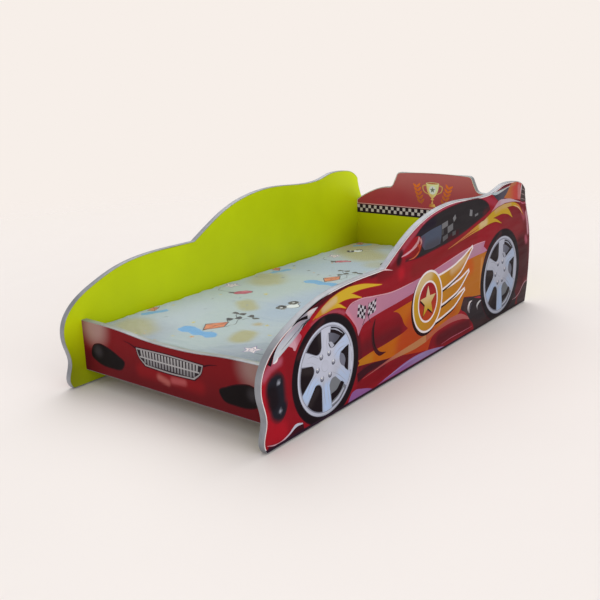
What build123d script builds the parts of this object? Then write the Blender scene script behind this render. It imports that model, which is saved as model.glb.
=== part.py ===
from build123d import *
import os

# A toddler bed shaped like a racing car: two shaped side boards, a headboard and a low
# footboard joined with cam fittings, a lift-out slatted base and a cot mattress.
#
# Car coordinates while modelling: X across the bed, Y along it from the car's nose towards
# its tail, Z up from the floor.  At the end everything moves along Y, so that the origin is
# the centre of the bed's length and width, on the floor.

# --- driving dimensions, millimetres ---------------------------------------------------
MATTRESS_WIDTH = 698.0
MATTRESS_LENGTH = 1396.0
MATTRESS_THICKNESS = 80.0
INSIDE_WIDTH = 706.0          # between the side boards, for a 700 mm mattress
INSIDE_LENGTH = 1412.0        # between footboard and headboard, for a 1400 mm mattress
BOARD = 18.0                  # thickness of the MDF boards, print and edging included
FILM = 0.3                    # printed film on the show faces
EDGING = 1.5                  # plastic edging all round the boards
GLIDE_HEIGHT = 3.0            # the side boards stand on plastic glides
SPLINE_STEP = 12.0            # between the points of an inset curve
ABOVE_ALL = 1000.0            # higher than any board, for cutting
CUT = 1.0                     # how far a cutting tool reaches beyond the face it opens

FOOT_FACE = 54.0                            # front face of the footboard
FOOT_BACK = FOOT_FACE + BOARD
HEAD_FACE = FOOT_BACK + INSIDE_LENGTH       # front face of the headboard
HEAD_BACK = HEAD_FACE + BOARD
INSIDE_X = INSIDE_WIDTH / 2                 # inner face of a side board
OUTSIDE_X = INSIDE_X + BOARD                # outer face of a side board
END_BOTTOM = 43.0 + GLIDE_HEIGHT            # underside of footboard and headboard
PRINT_BOTTOM = 291.0 + GLIDE_HEIGHT         # lower edge of the headboard's printed film

# --- slatted base ----------------------------------------------------------------------
SLAT_COUNT = 12
SLAT_WIDTH = 68.0
SLAT_THICKNESS = 15.0
SLAT_LENGTH = 700.0
SLAT_TOP = 90.0
SLAT_BOTTOM = SLAT_TOP - SLAT_THICKNESS
BASE_END_GAP = 16.0           # from footboard or headboard to the nearest slat
LIFT_GAP = 0.3                # parts that lift apart don't quite touch
RAIL_SIDE = 28.0              # square softwood rail under the slat ends
RAIL_END_GAP = 6.0
WEBBING_X = 230.0
WEBBING_WIDTH = 25.0
WEBBING_THICKNESS = 1.2
STAPLE_WIRE = 0.8
STAPLE_CROWN = 10.0
STAPLE_LEG = 8.0
STAPLE_SPACING = 30.0
STAPLE_CLEARANCE = 0.02
STAPLE_OVERLAP = 0.01         # the legs run into the crown
SLAT_ROUND = 3.0
RAIL_ROUND = 3.0
WEBBING_END_GAP = 6.0         # from the outer slats' edges to the webbing's ends

# --- mattress --------------------------------------------------------------------------
SHEET = 1.0
COVER = 2.0
SHEET_BOTTOM = SLAT_TOP + LIFT_GAP
COVER_BOTTOM = SHEET_BOTTOM + SHEET
SHEET_TURN_UNDER = 80.0
ELASTIC_WIDTH = 8.0
MATTRESS_CORNER = 40.0        # upright corners of the covered mattress
MATTRESS_EDGE = 14.0          # long rounded edges of the covered mattress
OPENING_CORNER = 30.0         # corners of the opening under the sheet

# --- fittings --------------------------------------------------------------------------
CAM_RADIUS = 7.5
CAM_DEPTH = 12.5
CAM_INSET = 34.0              # from the board's end to the middle of the cam
CAM_CLEARANCE = 0.1
CAM_SUNK = 0.2                # the cam lies this far below the hidden face
CAM_SLOT_REACH = 4.5          # from the cam's axis to the end of its slot
CAM_CROSS = 8.0               # length of each bar of the cross recess
CAM_CROSS_WIDTH = 1.4
CAM_CROSS_DEPTH = 2.4
BOLT_HEAD_REACH = 3.0         # the bolt's head ends this far beyond the cam's axis
BOLT_RADIUS = 3.0
BOLT_NECK_RADIUS = 2.1
BOLT_HEAD_RADIUS = 3.5
BOLT_HEAD_LENGTH = 4.0
BOLT_NECK_END = 8.5           # from the tip of the head
BOLT_BORE_RADIUS = 4.0
BOLT_THREAD_LENGTH = 11.0
BOLT_THREAD_RADIUS = 3.2
BOLT_ROOT_RADIUS = 2.4
BOLT_PITCH = 1.8
DOWEL_RADIUS = 4.0
DOWEL_LENGTH = 35.0
DOWEL_IN_SIDE = 10.5
DOWEL_CLEARANCE = 0.05
DOWEL_CHAMFER = 1.0
DOWEL_AIR = 0.5               # each bore is this much deeper than the dowel
CAP_RADIUS = 8.75
CAP_THICKNESS = 1.2
CAP_DOME = 0.8
SCREW_COUNT = 6               # in each slat rail
SCREW_LENGTH = 40.0
SCREW_RADIUS = 2.0
SCREW_HEAD_RADIUS = 4.0
SCREW_HEAD_DEPTH = 2.6
SCREW_THREAD_START = 14.0
SCREW_PITCH = 2.0
SCREW_THREAD_DEPTH = 0.6
SCREW_POINT = 3.0
SCREW_POINT_RADIUS = 0.2
SCREW_CLEARANCE = 0.03
SCREW_END_GAP = 60.0          # from the rail's end to its first screw
GLIDE_LENGTH = 50.0
GLIDE_WIDTH = 14.0
GLIDE_CHAMFER = 0.6
GLIDE_PLACES = (242.0, 1300.0)
NAIL_RADIUS = 1.0
NAIL_HEAD_RADIUS = 2.4
NAIL_LENGTH = 15.0
NAIL_HEAD_LOW = 0.8           # the head's height above the floor
NAIL_HEAD_HIGH = 2.0
NAIL_CLEARANCE = 0.02         # round the shank in the board
NAIL_HOLE_CLEARANCE = 0.05    # round head and shank in the glide
NAIL_SPACING = 30.0

FOOT_CAM_HEIGHTS = (78.0, 166.0)
FOOT_DOWEL_HEIGHTS = (104.0, 140.0)
HEAD_CAM_HEIGHTS = (84.0, 196.0, 308.0)
HEAD_DOWEL_HEIGHTS = (140.0, 252.0)


# --- outlines --------------------------------------------------------------------------
def side_outline():
    """The car's side view as a face in (Y, Z), its flat sill on Z = 0."""
    sill_front = (5, 0)
    bonnet_start = (350, 338)
    windscreen_foot = (524, 338)
    spoiler_end = (1487, 434)
    sill_rear = (1538, 0)
    nose = Spline(
        sill_front, (-6, 26), (5, 71), (-8.5, 139), (-5, 193), (45, 253), (110, 287),
        (200, 319), (270, 332), bonnet_start,
    )
    bonnet = Line(bonnet_start, windscreen_foot)
    roof = Spline(
        windscreen_foot, (599, 380), (682, 420), (780, 449), (950, 464), (1150, 453),
        (1235, 460), (1290, 472), (1375, 474), (1445, 462), spoiler_end,
    )
    tail = Spline(spoiler_end, (1499, 390), (1540, 304), (1560, 200), sill_rear)
    sill = Line(sill_rear, sill_front)
    return make_face(nose + bonnet + roof + tail + sill)


def headboard_outline(half_width):
    """A flat-topped headboard with a rounded step on each side, as a face in (X, Z)."""
    top, shoulder = 467.0 + GLIDE_HEIGHT, 406.0 + GLIDE_HEIGHT
    plateau_end = (146, top)
    step_top, step_bottom = (166, top - 16), (180, top - 47)
    shoulder_start = (204, shoulder)
    edge = (half_width, 336.0 + GLIDE_HEIGHT)
    plateau = Line((0, top), plateau_end)
    upper_round = TangentArc(plateau_end, step_top, tangent=(1, 0))
    step = Line(step_top, step_bottom)
    lower_round = TangentArc(step_bottom, shoulder_start, tangent=(14, -31))
    fall = Spline(
        shoulder_start, (246, 399 + GLIDE_HEIGHT), (298, 378 + GLIDE_HEIGHT), edge,
        tangents=[(1, -0.05), (1, -0.85)],
    )
    side = Line(edge, (half_width, END_BOTTOM))
    base = Line((half_width, END_BOTTOM), (0, END_BOTTOM))
    axis = Line((0, END_BOTTOM), (0, top))
    half = make_face(plateau + upper_round + step + lower_round + fall + side + base + axis)
    return half + mirror(half, about=Plane.YZ)


def footboard_outline(half_width):
    """A low board whose top edge dips in the middle, as a face in (X, Z)."""
    ends, middle = 194.0 + GLIDE_HEIGHT, 179.0 + GLIDE_HEIGHT
    dip = Spline(
        (0, middle), (100, 182 + GLIDE_HEIGHT), (190, 190 + GLIDE_HEIGHT),
        (280, ends - 0.5), (half_width, ends),
        tangents=[(1, 0), (1, 0)],
    )
    side = Line((half_width, ends), (half_width, END_BOTTOM))
    base = Line((half_width, END_BOTTOM), (0, END_BOTTOM))
    axis = Line((0, END_BOTTOM), (0, middle))
    half = make_face(dip + side + base + axis)
    return half + mirror(half, about=Plane.YZ)


def side_plane(x):
    """Local x along the bed, local y up, normal to the right."""
    return Plane(origin=(x, 0, 0), x_dir=(0, 1, 0), z_dir=(1, 0, 0))


def end_plane(y):
    """Local x across the bed, local y up, normal towards the nose."""
    return Plane(origin=(0, y, 0), x_dir=(1, 0, 0), z_dir=(0, -1, 0))


def inset(outline):
    """The outline drawn in by the edging's thickness, its curves drawn afresh as splines."""
    edges = offset(outline, amount=-EDGING, kind=Kind.ARC).edges()
    curve = Curve()
    for edge in edges:
        if edge.geom_type in (GeomType.LINE, GeomType.CIRCLE):
            curve += edge
        else:
            count = max(10, round(edge.length / SPLINE_STEP))
            curve += Spline([edge @ (i / count) for i in range(count + 1)])
    return make_face(curve)


def box_between(low, high):
    size = [b - a for a, b in zip(low, high)]
    middle = [(a + b) / 2 for a, b in zip(low, high)]
    return Pos(*middle) * Box(*size)


# --- holes and fittings ----------------------------------------------------------------
def rod_along_x(radius, x_from, x_to, y, z):
    length = abs(x_to - x_from)
    return Pos((x_from + x_to) / 2, y, z) * Rot(0, 90, 0) * Cylinder(radius, length)


def rod_along_y(radius, y_from, y_to, x, z):
    length = abs(y_to - y_from)
    return Pos(x, (y_from + y_to) / 2, z) * Rot(90, 0, 0) * Cylinder(radius, length)


def turned_along_x(profile, x, y, z, side):
    """A turned piece from (distance, radius) corners, pointing outwards from x on that side."""
    outline = Polyline([(0, 0)] + profile + [(profile[-1][0], 0), (0, 0)])
    solid = revolve(make_face(outline), axis=Axis.X)
    turn = 0 if side > 0 else 180
    return Pos(side * x, y, z) * Rot(0, 0, turn) * solid


def ridges(start, end, pitch, crest, root):
    """Saw-tooth (distance, radius) corners of a thread drawn as rings."""
    corners = []
    count = int((end - start) / pitch)
    for i in range(count):
        foot = start + i * pitch
        corners += [(foot, root), (foot + pitch / 2, crest)]
    return corners + [(start + count * pitch, root)]


CORNERS = [
    (side, middle, face, heights)
    for side in (-1, 1)
    for middle, face, heights in (
        (FOOT_FACE + BOARD / 2, FOOT_BACK, FOOT_CAM_HEIGHTS),
        (HEAD_FACE + BOARD / 2, HEAD_BACK, HEAD_CAM_HEIGHTS),
    )
]
CAM_X = INSIDE_X - CAM_INSET


def cam_bores(face_y, heights, side):
    """The cam's pocket from the hidden face and the bolt's bore from the board's end."""
    middle = face_y - BOARD / 2
    bores = []
    for z in heights:
        bores.append(
            rod_along_y(CAM_RADIUS, face_y - CAM_DEPTH, face_y + CUT, side * CAM_X, z)
        )
        bores.append(
            rod_along_x(BOLT_BORE_RADIUS, side * CAM_X, side * (INSIDE_X + CUT), middle, z)
        )
    return bores


def cam_lock(face_y, z, side):
    """A zinc cam: a short drum with a slot for the bolt's head and a cross recess."""
    radius = CAM_RADIUS - CAM_CLEARANCE
    inner_end = face_y - CAM_DEPTH + CAM_CLEARANCE
    drum = rod_along_y(radius, inner_end, face_y - CAM_SUNK, side * CAM_X, z)
    slot_end = side * (CAM_X - CAM_SLOT_REACH)
    slot = rod_along_x(BOLT_BORE_RADIUS, slot_end, side * INSIDE_X, face_y - BOARD / 2, z)
    bars = Box(CAM_CROSS, CAM_CROSS_DEPTH, CAM_CROSS_WIDTH) + Box(
        CAM_CROSS_WIDTH, CAM_CROSS_DEPTH, CAM_CROSS
    )
    return drum - slot - Pos(side * CAM_X, face_y - CAM_CROSS_DEPTH / 2 + CAM_SUNK, z) * bars


def cam_bolt(face_y, z, side):
    """A steel bolt: head in the cam, thread in the side board."""
    head = CAM_X - BOLT_HEAD_REACH
    bevel = 0.2 * BOLT_HEAD_LENGTH
    profile = [
        (0, BOLT_HEAD_RADIUS - bevel), (bevel, BOLT_HEAD_RADIUS),
        (BOLT_HEAD_LENGTH - bevel, BOLT_HEAD_RADIUS), (BOLT_HEAD_LENGTH, BOLT_NECK_RADIUS),
        (BOLT_NECK_END, BOLT_NECK_RADIUS), (BOLT_NECK_END + 1, BOLT_RADIUS),
    ]
    flange = INSIDE_X - head
    profile += [(flange, BOLT_RADIUS)]
    profile += ridges(
        flange + 0.2, flange + BOLT_THREAD_LENGTH, BOLT_PITCH, BOLT_THREAD_RADIUS,
        BOLT_ROOT_RADIUS,
    )
    return turned_along_x(profile, head, face_y - BOARD / 2, z, side)


def cam_cap(face_y, z, side):
    """A push-on plastic cap over the cam, domed at its rim."""
    cap = rod_along_y(CAP_RADIUS, face_y, face_y + CAP_THICKNESS, side * CAM_X, z)
    rim = cap.edges().filter_by(GeomType.CIRCLE).sort_by(Axis.Y)[-1]
    return fillet(rim, CAP_DOME)


def dowel(middle_y, z, side):
    """A beech dowel with chamfered ends, partly in the end board, partly in the side board."""
    outer = INSIDE_X + DOWEL_IN_SIDE
    profile = [
        (0, DOWEL_RADIUS - DOWEL_CHAMFER), (DOWEL_CHAMFER, DOWEL_RADIUS),
        (DOWEL_LENGTH - DOWEL_CHAMFER, DOWEL_RADIUS),
        (DOWEL_LENGTH, DOWEL_RADIUS - DOWEL_CHAMFER),
    ]
    return turned_along_x(profile, outer - DOWEL_LENGTH, middle_y, z, side)


def dowel_bore(middle_y, z, side):
    inner = INSIDE_X + DOWEL_IN_SIDE - DOWEL_LENGTH - DOWEL_AIR
    outer = INSIDE_X + DOWEL_IN_SIDE + DOWEL_AIR
    radius = DOWEL_RADIUS + DOWEL_CLEARANCE
    return rod_along_x(radius, side * inner, side * outer, middle_y, z)


def dowel_places():
    """(middle of the board's thickness, height) of every dowel on one side."""
    places = [(FOOT_FACE + BOARD / 2, z) for z in FOOT_DOWEL_HEIGHTS]
    return places + [(HEAD_FACE + BOARD / 2, z) for z in HEAD_DOWEL_HEIGHTS]


def rail_screw_places():
    start = FOOT_BACK + RAIL_END_GAP + SCREW_END_GAP
    end = HEAD_FACE - RAIL_END_GAP - SCREW_END_GAP
    step = (end - start) / (SCREW_COUNT - 1)
    return [start + i * step for i in range(SCREW_COUNT)]


def rail_middle_z():
    return SLAT_BOTTOM - LIFT_GAP - RAIL_SIDE / 2


def screw_profile(grow):
    """Countersunk wood screw as (distance, radius) corners, optionally grown for its hole."""
    shank = SCREW_RADIUS + grow
    head = [(0, SCREW_HEAD_RADIUS + grow), (SCREW_HEAD_DEPTH, shank)]
    if grow:
        return head + [(SCREW_LENGTH + 0.5, shank)]
    thread = ridges(
        SCREW_THREAD_START, SCREW_LENGTH - SCREW_POINT, SCREW_PITCH, SCREW_RADIUS,
        SCREW_RADIUS - SCREW_THREAD_DEPTH,
    )
    start, tip = (SCREW_THREAD_START, SCREW_RADIUS), (SCREW_LENGTH, SCREW_POINT_RADIUS)
    return head + [start] + thread + [tip]


def rail_screw(y, side, grow=0.0):
    """A countersunk screw from the rail's inner face into the side board."""
    head = INSIDE_X - RAIL_SIDE
    return turned_along_x(screw_profile(grow), head, y, rail_middle_z(), side)


def glide(y, side):
    """A plastic glide with two countersunk nail holes."""
    x = side * (INSIDE_X + BOARD / 2)
    body = Pos(x, y, GLIDE_HEIGHT / 2) * Box(GLIDE_WIDTH, GLIDE_LENGTH, GLIDE_HEIGHT)
    body = fillet(body.edges().filter_by(Axis.Z), GLIDE_WIDTH / 2 - 0.5)
    body = chamfer(body.faces().sort_by(Axis.Z)[0].edges(), GLIDE_CHAMFER)
    for nail_y in (y - NAIL_SPACING / 2, y + NAIL_SPACING / 2):
        body -= nail(x, nail_y, NAIL_HOLE_CLEARANCE)
    return body


def nail(x, y, grow=0.0):
    """A glide nail with a sunk head; grown, it is the hole for it, open to the floor."""
    shank_z = NAIL_HEAD_HIGH + NAIL_LENGTH / 2
    shank = Pos(x, y, shank_z) * Cylinder(NAIL_RADIUS + grow, NAIL_LENGTH)
    low = 0.0 if grow else NAIL_HEAD_LOW
    head = Pos(x, y, (low + NAIL_HEAD_HIGH) / 2) * Cylinder(
        NAIL_HEAD_RADIUS + grow, NAIL_HEAD_HIGH - low
    )
    return shank + head


def nail_places():
    return [
        (side * (INSIDE_X + BOARD / 2), y + offset)
        for side in (-1, 1)
        for y in GLIDE_PLACES
        for offset in (-NAIL_SPACING / 2, NAIL_SPACING / 2)
    ]


# --- boards ----------------------------------------------------------------------------
def side_board(side):
    """Panel, edging and printed film of one side board, as three solids."""
    outline = Pos(0, GLIDE_HEIGHT) * side_outline()
    inner = inset(outline)
    low = INSIDE_X if side > 0 else -OUTSIDE_X
    film_low = OUTSIDE_X - FILM if side > 0 else -OUTSIDE_X
    panel_low = INSIDE_X if side > 0 else -(OUTSIDE_X - FILM)
    panel = extrude(side_plane(panel_low) * inner, BOARD - FILM)
    film = extrude(side_plane(film_low) * inner, FILM)
    edging = extrude(side_plane(low) * (outline - inner), BOARD)

    for corner_side, middle, face, heights in CORNERS:
        if corner_side != side:
            continue
        for z in heights:
            panel -= rod_along_x(
                BOLT_THREAD_RADIUS + CAM_CLEARANCE, side * (INSIDE_X - CUT),
                side * (INSIDE_X + BOLT_THREAD_LENGTH + CUT), middle, z,
            )
    for middle, z in dowel_places():
        panel -= dowel_bore(middle, z, side)
    for y in rail_screw_places():
        panel -= rail_screw(y, side, SCREW_CLEARANCE)
    for x, y in nail_places():
        if x * side > 0:
            panel -= nail(x, y, NAIL_CLEARANCE)
            edging -= nail(x, y, NAIL_CLEARANCE)
    return panel, edging, film


def end_board(outline_of, front, back, heights, dowels, print_bottom):
    """Panel, edging and printed film of the headboard or footboard."""
    overrun = 12.0
    outline = outline_of(INSIDE_X + overrun)
    inner = inset(outline)
    between_sides = box_between((-INSIDE_X, front, 0), (INSIDE_X, back, ABOVE_ALL))
    printed = box_between((-INSIDE_X, front, print_bottom), (INSIDE_X, back, ABOVE_ALL))
    panel = extrude(end_plane(back) * inner, BOARD - FILM) & between_sides
    edging = extrude(end_plane(back) * (outline - inner), BOARD) & between_sides
    film = extrude(end_plane(front + FILM) * inner, FILM) & printed
    for side in (-1, 1):
        for bore in cam_bores(back, heights, side):
            panel -= bore
        for z in dowels:
            panel -= dowel_bore((front + back) / 2, z, side)
    return panel, edging, film


# --- slatted base ----------------------------------------------------------------------
def slat_pitch():
    run = INSIDE_LENGTH - 2 * BASE_END_GAP - SLAT_WIDTH
    return run / (SLAT_COUNT - 1)


def slat_middle(index):
    return FOOT_BACK + BASE_END_GAP + SLAT_WIDTH / 2 + index * slat_pitch()


def staple_places(index):
    """(x, y) of the staples that hold both webbings to one slat."""
    return [
        (side * WEBBING_X, slat_middle(index) + offset)
        for side in (-1, 1)
        for offset in (-STAPLE_SPACING / 2, STAPLE_SPACING / 2)
    ]


def staple(x, y, grow=0.0):
    """A staple driven up through the webbing, with a crown and two legs."""
    crown_top = SLAT_BOTTOM - WEBBING_THICKNESS
    wire = STAPLE_WIRE + 2 * grow
    crown = Pos(x, y, crown_top - STAPLE_WIRE / 2) * Box(STAPLE_CROWN, wire, STAPLE_WIRE)
    leg_x = STAPLE_CROWN / 2 - STAPLE_WIRE / 2
    legs = [
        Pos(x + side * leg_x, y, crown_top + STAPLE_LEG / 2 - STAPLE_OVERLAP)
        * Box(wire, wire, STAPLE_LEG + 2 * STAPLE_OVERLAP + 2 * grow)
        for side in (-1, 1)
    ]
    return crown + legs[0] + legs[1]


def slat(index):
    """A pine slat with rounded long edges."""
    middle = slat_middle(index)
    body = Pos(0, middle, SLAT_BOTTOM + SLAT_THICKNESS / 2) * Box(
        SLAT_LENGTH, SLAT_WIDTH, SLAT_THICKNESS
    )
    body = fillet(body.edges().filter_by(Axis.X), SLAT_ROUND)
    for x, y in staple_places(index):
        body -= staple(x, y, STAPLE_CLEARANCE)
    return body


def webbing(side):
    """One flat tape under all the slats."""
    start = slat_middle(0) - SLAT_WIDTH / 2 + WEBBING_END_GAP
    end = slat_middle(SLAT_COUNT - 1) + SLAT_WIDTH / 2 - WEBBING_END_GAP
    middle_x = side * WEBBING_X
    tape = box_between(
        (middle_x - WEBBING_WIDTH / 2, start, SLAT_BOTTOM - WEBBING_THICKNESS),
        (middle_x + WEBBING_WIDTH / 2, end, SLAT_BOTTOM),
    )
    for index in range(SLAT_COUNT):
        for x, y in staple_places(index):
            if x * side > 0:
                tape -= staple(x, y, STAPLE_CLEARANCE)
    return tape


def rail(side):
    """A square rail screwed inside a side board, under the slat ends."""
    low_x, high_x = INSIDE_X - RAIL_SIDE, INSIDE_X
    top = SLAT_BOTTOM - LIFT_GAP
    bar = box_between(
        (min(side * low_x, side * high_x), FOOT_BACK + RAIL_END_GAP, top - RAIL_SIDE),
        (max(side * low_x, side * high_x), HEAD_FACE - RAIL_END_GAP, top),
    )
    inner_edges = bar.edges().filter_by(Axis.Y).sort_by(Axis.X)
    rounded = inner_edges[:2] if side > 0 else inner_edges[-2:]
    bar = fillet(rounded, RAIL_ROUND)
    for y in rail_screw_places():
        bar -= rail_screw(y, side, SCREW_CLEARANCE)
    return bar


# --- mattress --------------------------------------------------------------------------
def mattress_block(grow, bottom, top):
    """A block with rounded upright corners and rounded long edges."""
    width = MATTRESS_WIDTH - 2 * SHEET + 2 * grow
    length = MATTRESS_LENGTH - 2 * SHEET + 2 * grow
    middle = (FOOT_BACK + HEAD_FACE) / 2
    block = Pos(0, middle, (bottom + top) / 2) * Box(width, length, top - bottom)
    block = fillet(block.edges().filter_by(Axis.Z), MATTRESS_CORNER + grow)
    ends = block.faces().filter_by(Axis.Z)
    return fillet(ends.edges(), MATTRESS_EDGE + grow)


def mattress():
    """Foam core, quilted cover, fitted sheet and its elastic, each inside the next."""
    cover_top = COVER_BOTTOM + MATTRESS_THICKNESS
    outer = mattress_block(SHEET, SHEET_BOTTOM, cover_top + SHEET)
    covered = mattress_block(0, COVER_BOTTOM, cover_top)
    core = mattress_block(-COVER, COVER_BOTTOM + COVER, cover_top - COVER)
    middle = (FOOT_BACK + HEAD_FACE) / 2
    half_x = MATTRESS_WIDTH / 2 - SHEET_TURN_UNDER
    half_y = MATTRESS_LENGTH / 2 - SHEET_TURN_UNDER
    low = SHEET_BOTTOM - CUT
    opening = box_between(
        (-half_x, middle - half_y, low), (half_x, middle + half_y, COVER_BOTTOM)
    )
    opening = fillet(opening.edges().filter_by(Axis.Z), OPENING_CORNER)
    within = box_between(
        (-half_x + ELASTIC_WIDTH, middle - half_y + ELASTIC_WIDTH, low),
        (half_x - ELASTIC_WIDTH, middle + half_y - ELASTIC_WIDTH, COVER_BOTTOM),
    )
    within = fillet(within.edges().filter_by(Axis.Z), OPENING_CORNER - ELASTIC_WIDTH)
    layer = box_between(
        (-OUTSIDE_X, FOOT_BACK, SHEET_BOTTOM), (OUTSIDE_X, HEAD_FACE, COVER_BOTTOM)
    )
    return {
        "mattress_core": core,
        "mattress_cover": covered - core,
        "fitted_sheet": outer - covered - opening,
        "sheet_elastic": (opening - within) & layer,
    }


# --- everything ------------------------------------------------------------------------
def fastener_groups():
    """Each kind of fastener is one node: a group of separate solids."""
    cams = [(face, z, side) for side, _, face, heights in CORNERS for z in heights]
    return {
        "cam_locks": [cam_lock(*place) for place in cams],
        "cam_bolts": [cam_bolt(*place) for place in cams],
        "cam_caps": [cam_cap(*place) for place in cams],
        "dowels": [dowel(y, z, side) for side in (-1, 1) for y, z in dowel_places()],
        "rail_screws": [
            rail_screw(y, side) for side in (-1, 1) for y in rail_screw_places()
        ],
        "floor_glides": [glide(y, side) for side in (-1, 1) for y in GLIDE_PLACES],
        "glide_nails": [nail(x, y) for x, y in nail_places()],
        "slat_staples": [
            staple(x, y) for i in range(SLAT_COUNT) for x, y in staple_places(i)
        ],
    }


def build_nodes():
    nodes = {}
    for name, side in (("right", 1), ("left", -1)):
        panel, edging, film = side_board(side)
        nodes[f"side_panel_{name}"] = panel
        nodes[f"side_edging_{name}"] = edging
        nodes[f"side_print_{name}"] = film
        nodes[f"slat_rail_{name}"] = rail(side)
        nodes[f"slat_webbing_{name}"] = webbing(side)
    ends = (
        ("head", headboard_outline, HEAD_FACE, HEAD_BACK, HEAD_CAM_HEIGHTS,
         HEAD_DOWEL_HEIGHTS, PRINT_BOTTOM),
        ("foot", footboard_outline, FOOT_FACE, FOOT_BACK, FOOT_CAM_HEIGHTS,
         FOOT_DOWEL_HEIGHTS, 0.0),
    )
    for name, outline_of, front, back, cams, dowels, print_bottom in ends:
        panel, edging, film = end_board(outline_of, front, back, cams, dowels, print_bottom)
        nodes[f"{name}board_panel"] = panel
        nodes[f"{name}board_edging"] = edging
        nodes[f"{name}board_print"] = film
    for index in range(SLAT_COUNT):
        nodes[f"slat_{index + 1:02d}"] = slat(index)
    nodes.update(mattress())
    for name, solids in fastener_groups().items():
        nodes[name] = solids
    return nodes


def main():
    os.makedirs("parts", exist_ok=True)
    centre = side_outline().bounding_box().center().X
    to_centre = Location((0, -centre, 0))
    for name, shape in build_nodes().items():
        pieces = shape if isinstance(shape, list) else [shape]
        solids = [to_centre * solid for piece in pieces for solid in piece.solids()]
        export_step(Compound(solids), f"parts/{name}.step")
    print("moved along Y by", -centre)


main()
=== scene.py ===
"""Looks of a toddler bed shaped like a racing car: printed boards, edge bands, sheet and light.

Row frame: X across the bed (the near board is at +X), Y along it (the nose at -Y), Z up, metres.
Artwork of the side boards is drawn in millimetres as (along, up): along from the nose line, up
from the sill. Artwork of the end boards is (across, up). Colours are sRGB, 0 to 255.
"""

import math

import bmesh
import bpy
import numpy as np
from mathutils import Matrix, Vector
from mathutils.geometry import delaunay_2d_cdt


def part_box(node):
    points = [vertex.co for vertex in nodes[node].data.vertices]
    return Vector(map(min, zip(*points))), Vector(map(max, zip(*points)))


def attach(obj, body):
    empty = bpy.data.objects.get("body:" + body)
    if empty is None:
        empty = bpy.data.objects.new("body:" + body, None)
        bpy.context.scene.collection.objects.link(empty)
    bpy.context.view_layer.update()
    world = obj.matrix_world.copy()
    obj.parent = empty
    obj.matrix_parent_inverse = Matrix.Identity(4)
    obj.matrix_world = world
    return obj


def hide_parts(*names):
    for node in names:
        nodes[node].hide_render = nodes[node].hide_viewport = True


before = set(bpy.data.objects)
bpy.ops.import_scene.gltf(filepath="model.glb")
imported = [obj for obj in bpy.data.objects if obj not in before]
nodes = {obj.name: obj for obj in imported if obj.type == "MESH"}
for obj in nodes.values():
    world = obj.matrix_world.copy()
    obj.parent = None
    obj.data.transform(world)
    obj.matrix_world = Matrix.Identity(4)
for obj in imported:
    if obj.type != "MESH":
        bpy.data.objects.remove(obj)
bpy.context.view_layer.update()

MM = 0.001
NOSE = -0.775176              # Y of the nose line
SILL = 0.003                  # Z of the boards' lower edge, on the glides
FILM = 0.0003                 # thickness of the printed film
EDGING = 0.0015               # thickness of the edge band
ARRIS = 0.0005                # rounding of the end boards' edge bands
GRID = 6.0                    # mm between the points that carry the airbrushed colours
MARGIN = 2.6                  # mm of unprinted white round the artwork
SHEEN = 0.008                 # what the film's gloss adds to every ink, in linear light
BRIGHTEST = 0.9               # the most an ink reflects


# --- colours ----------------------------------------------------------------------------
def ink(red, green, blue):
    """An sRGB colour as linear values."""
    share = np.array([red, green, blue], float) / 255
    return np.where(share < 0.04045, share / 12.92, ((share + 0.055) / 1.055) ** 2.4)


WHITE = ink(236, 226, 228)
SILVER = ink(176, 180, 196)
STEEL = ink(120, 122, 138)
PALE_BLUE = ink(150, 172, 205)
BLACK = ink(34, 28, 32)
CHARCOAL = ink(50, 44, 46)
RED = ink(146, 30, 40)
BRIGHT_RED = ink(178, 34, 46)
DEEP_RED = ink(118, 28, 36)
MAROON = ink(84, 30, 38)
DARK_MAROON = ink(62, 28, 36)
BROWN = ink(76, 42, 46)
ROSE = ink(176, 92, 112)
PALE_PINK = ink(206, 158, 172)
ORANGE = ink(182, 98, 28)
FIRE = ink(170, 62, 34)
AMBER = ink(178, 118, 36)
YELLOW = ink(186, 150, 44)
CREAM = ink(206, 186, 150)
PURPLE = ink(140, 92, 150)
LILAC = ink(140, 120, 164)
PANE = ink(76, 84, 102)
GREY = ink(112, 112, 116)
GOLD = ink(188, 148, 88)
BRONZE = ink(150, 84, 50)


# --- curves and shapes, all as arrays of (along, up) points in millimetres ---------------
MITRE_LIMIT = 0.4             # keeps a very sharp corner's mitre short
THINNEST = 0.3                # mm, a ribbon's least width


def points(run):
    """A list of points, which may be written as text: "0,3 12,8"."""
    if isinstance(run, str):
        run = [tuple(map(float, pair.split(","))) for pair in run.split()]
    return np.array(run, float)


def spline(run, closed=False, step=4.0):
    """A smooth curve through the points, cut into pieces about step long."""
    knots = points(run)
    if closed:
        knots = np.vstack([knots[-1:], knots, knots[:2]])
    else:
        first, last = 2 * knots[0] - knots[1], 2 * knots[-1] - knots[-2]
        knots = np.vstack([first, knots, last])
    gaps = np.linalg.norm(np.diff(knots, axis=0), axis=1)[:, None]
    slopes = np.diff(knots, axis=0) / gaps
    tangents = (gaps[1:] * slopes[:-1] + gaps[:-1] * slopes[1:]) / (gaps[1:] + gaps[:-1])
    runs = []
    for i in range(len(tangents) - 1):
        start, end, gap = knots[i + 1], knots[i + 2], gaps[i + 1]
        pieces = max(1, math.ceil(gap[0] / step))
        t = np.arange(pieces)[:, None] / pieces
        swing = t * (1 - t) * gap * ((1 - t) * tangents[i] - t * tangents[i + 1])
        runs.append(start + (end - start) * t * t * (3 - 2 * t) + swing)
    if not closed:
        runs.append(knots[-2:-1])
    return np.vstack(runs)


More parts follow.
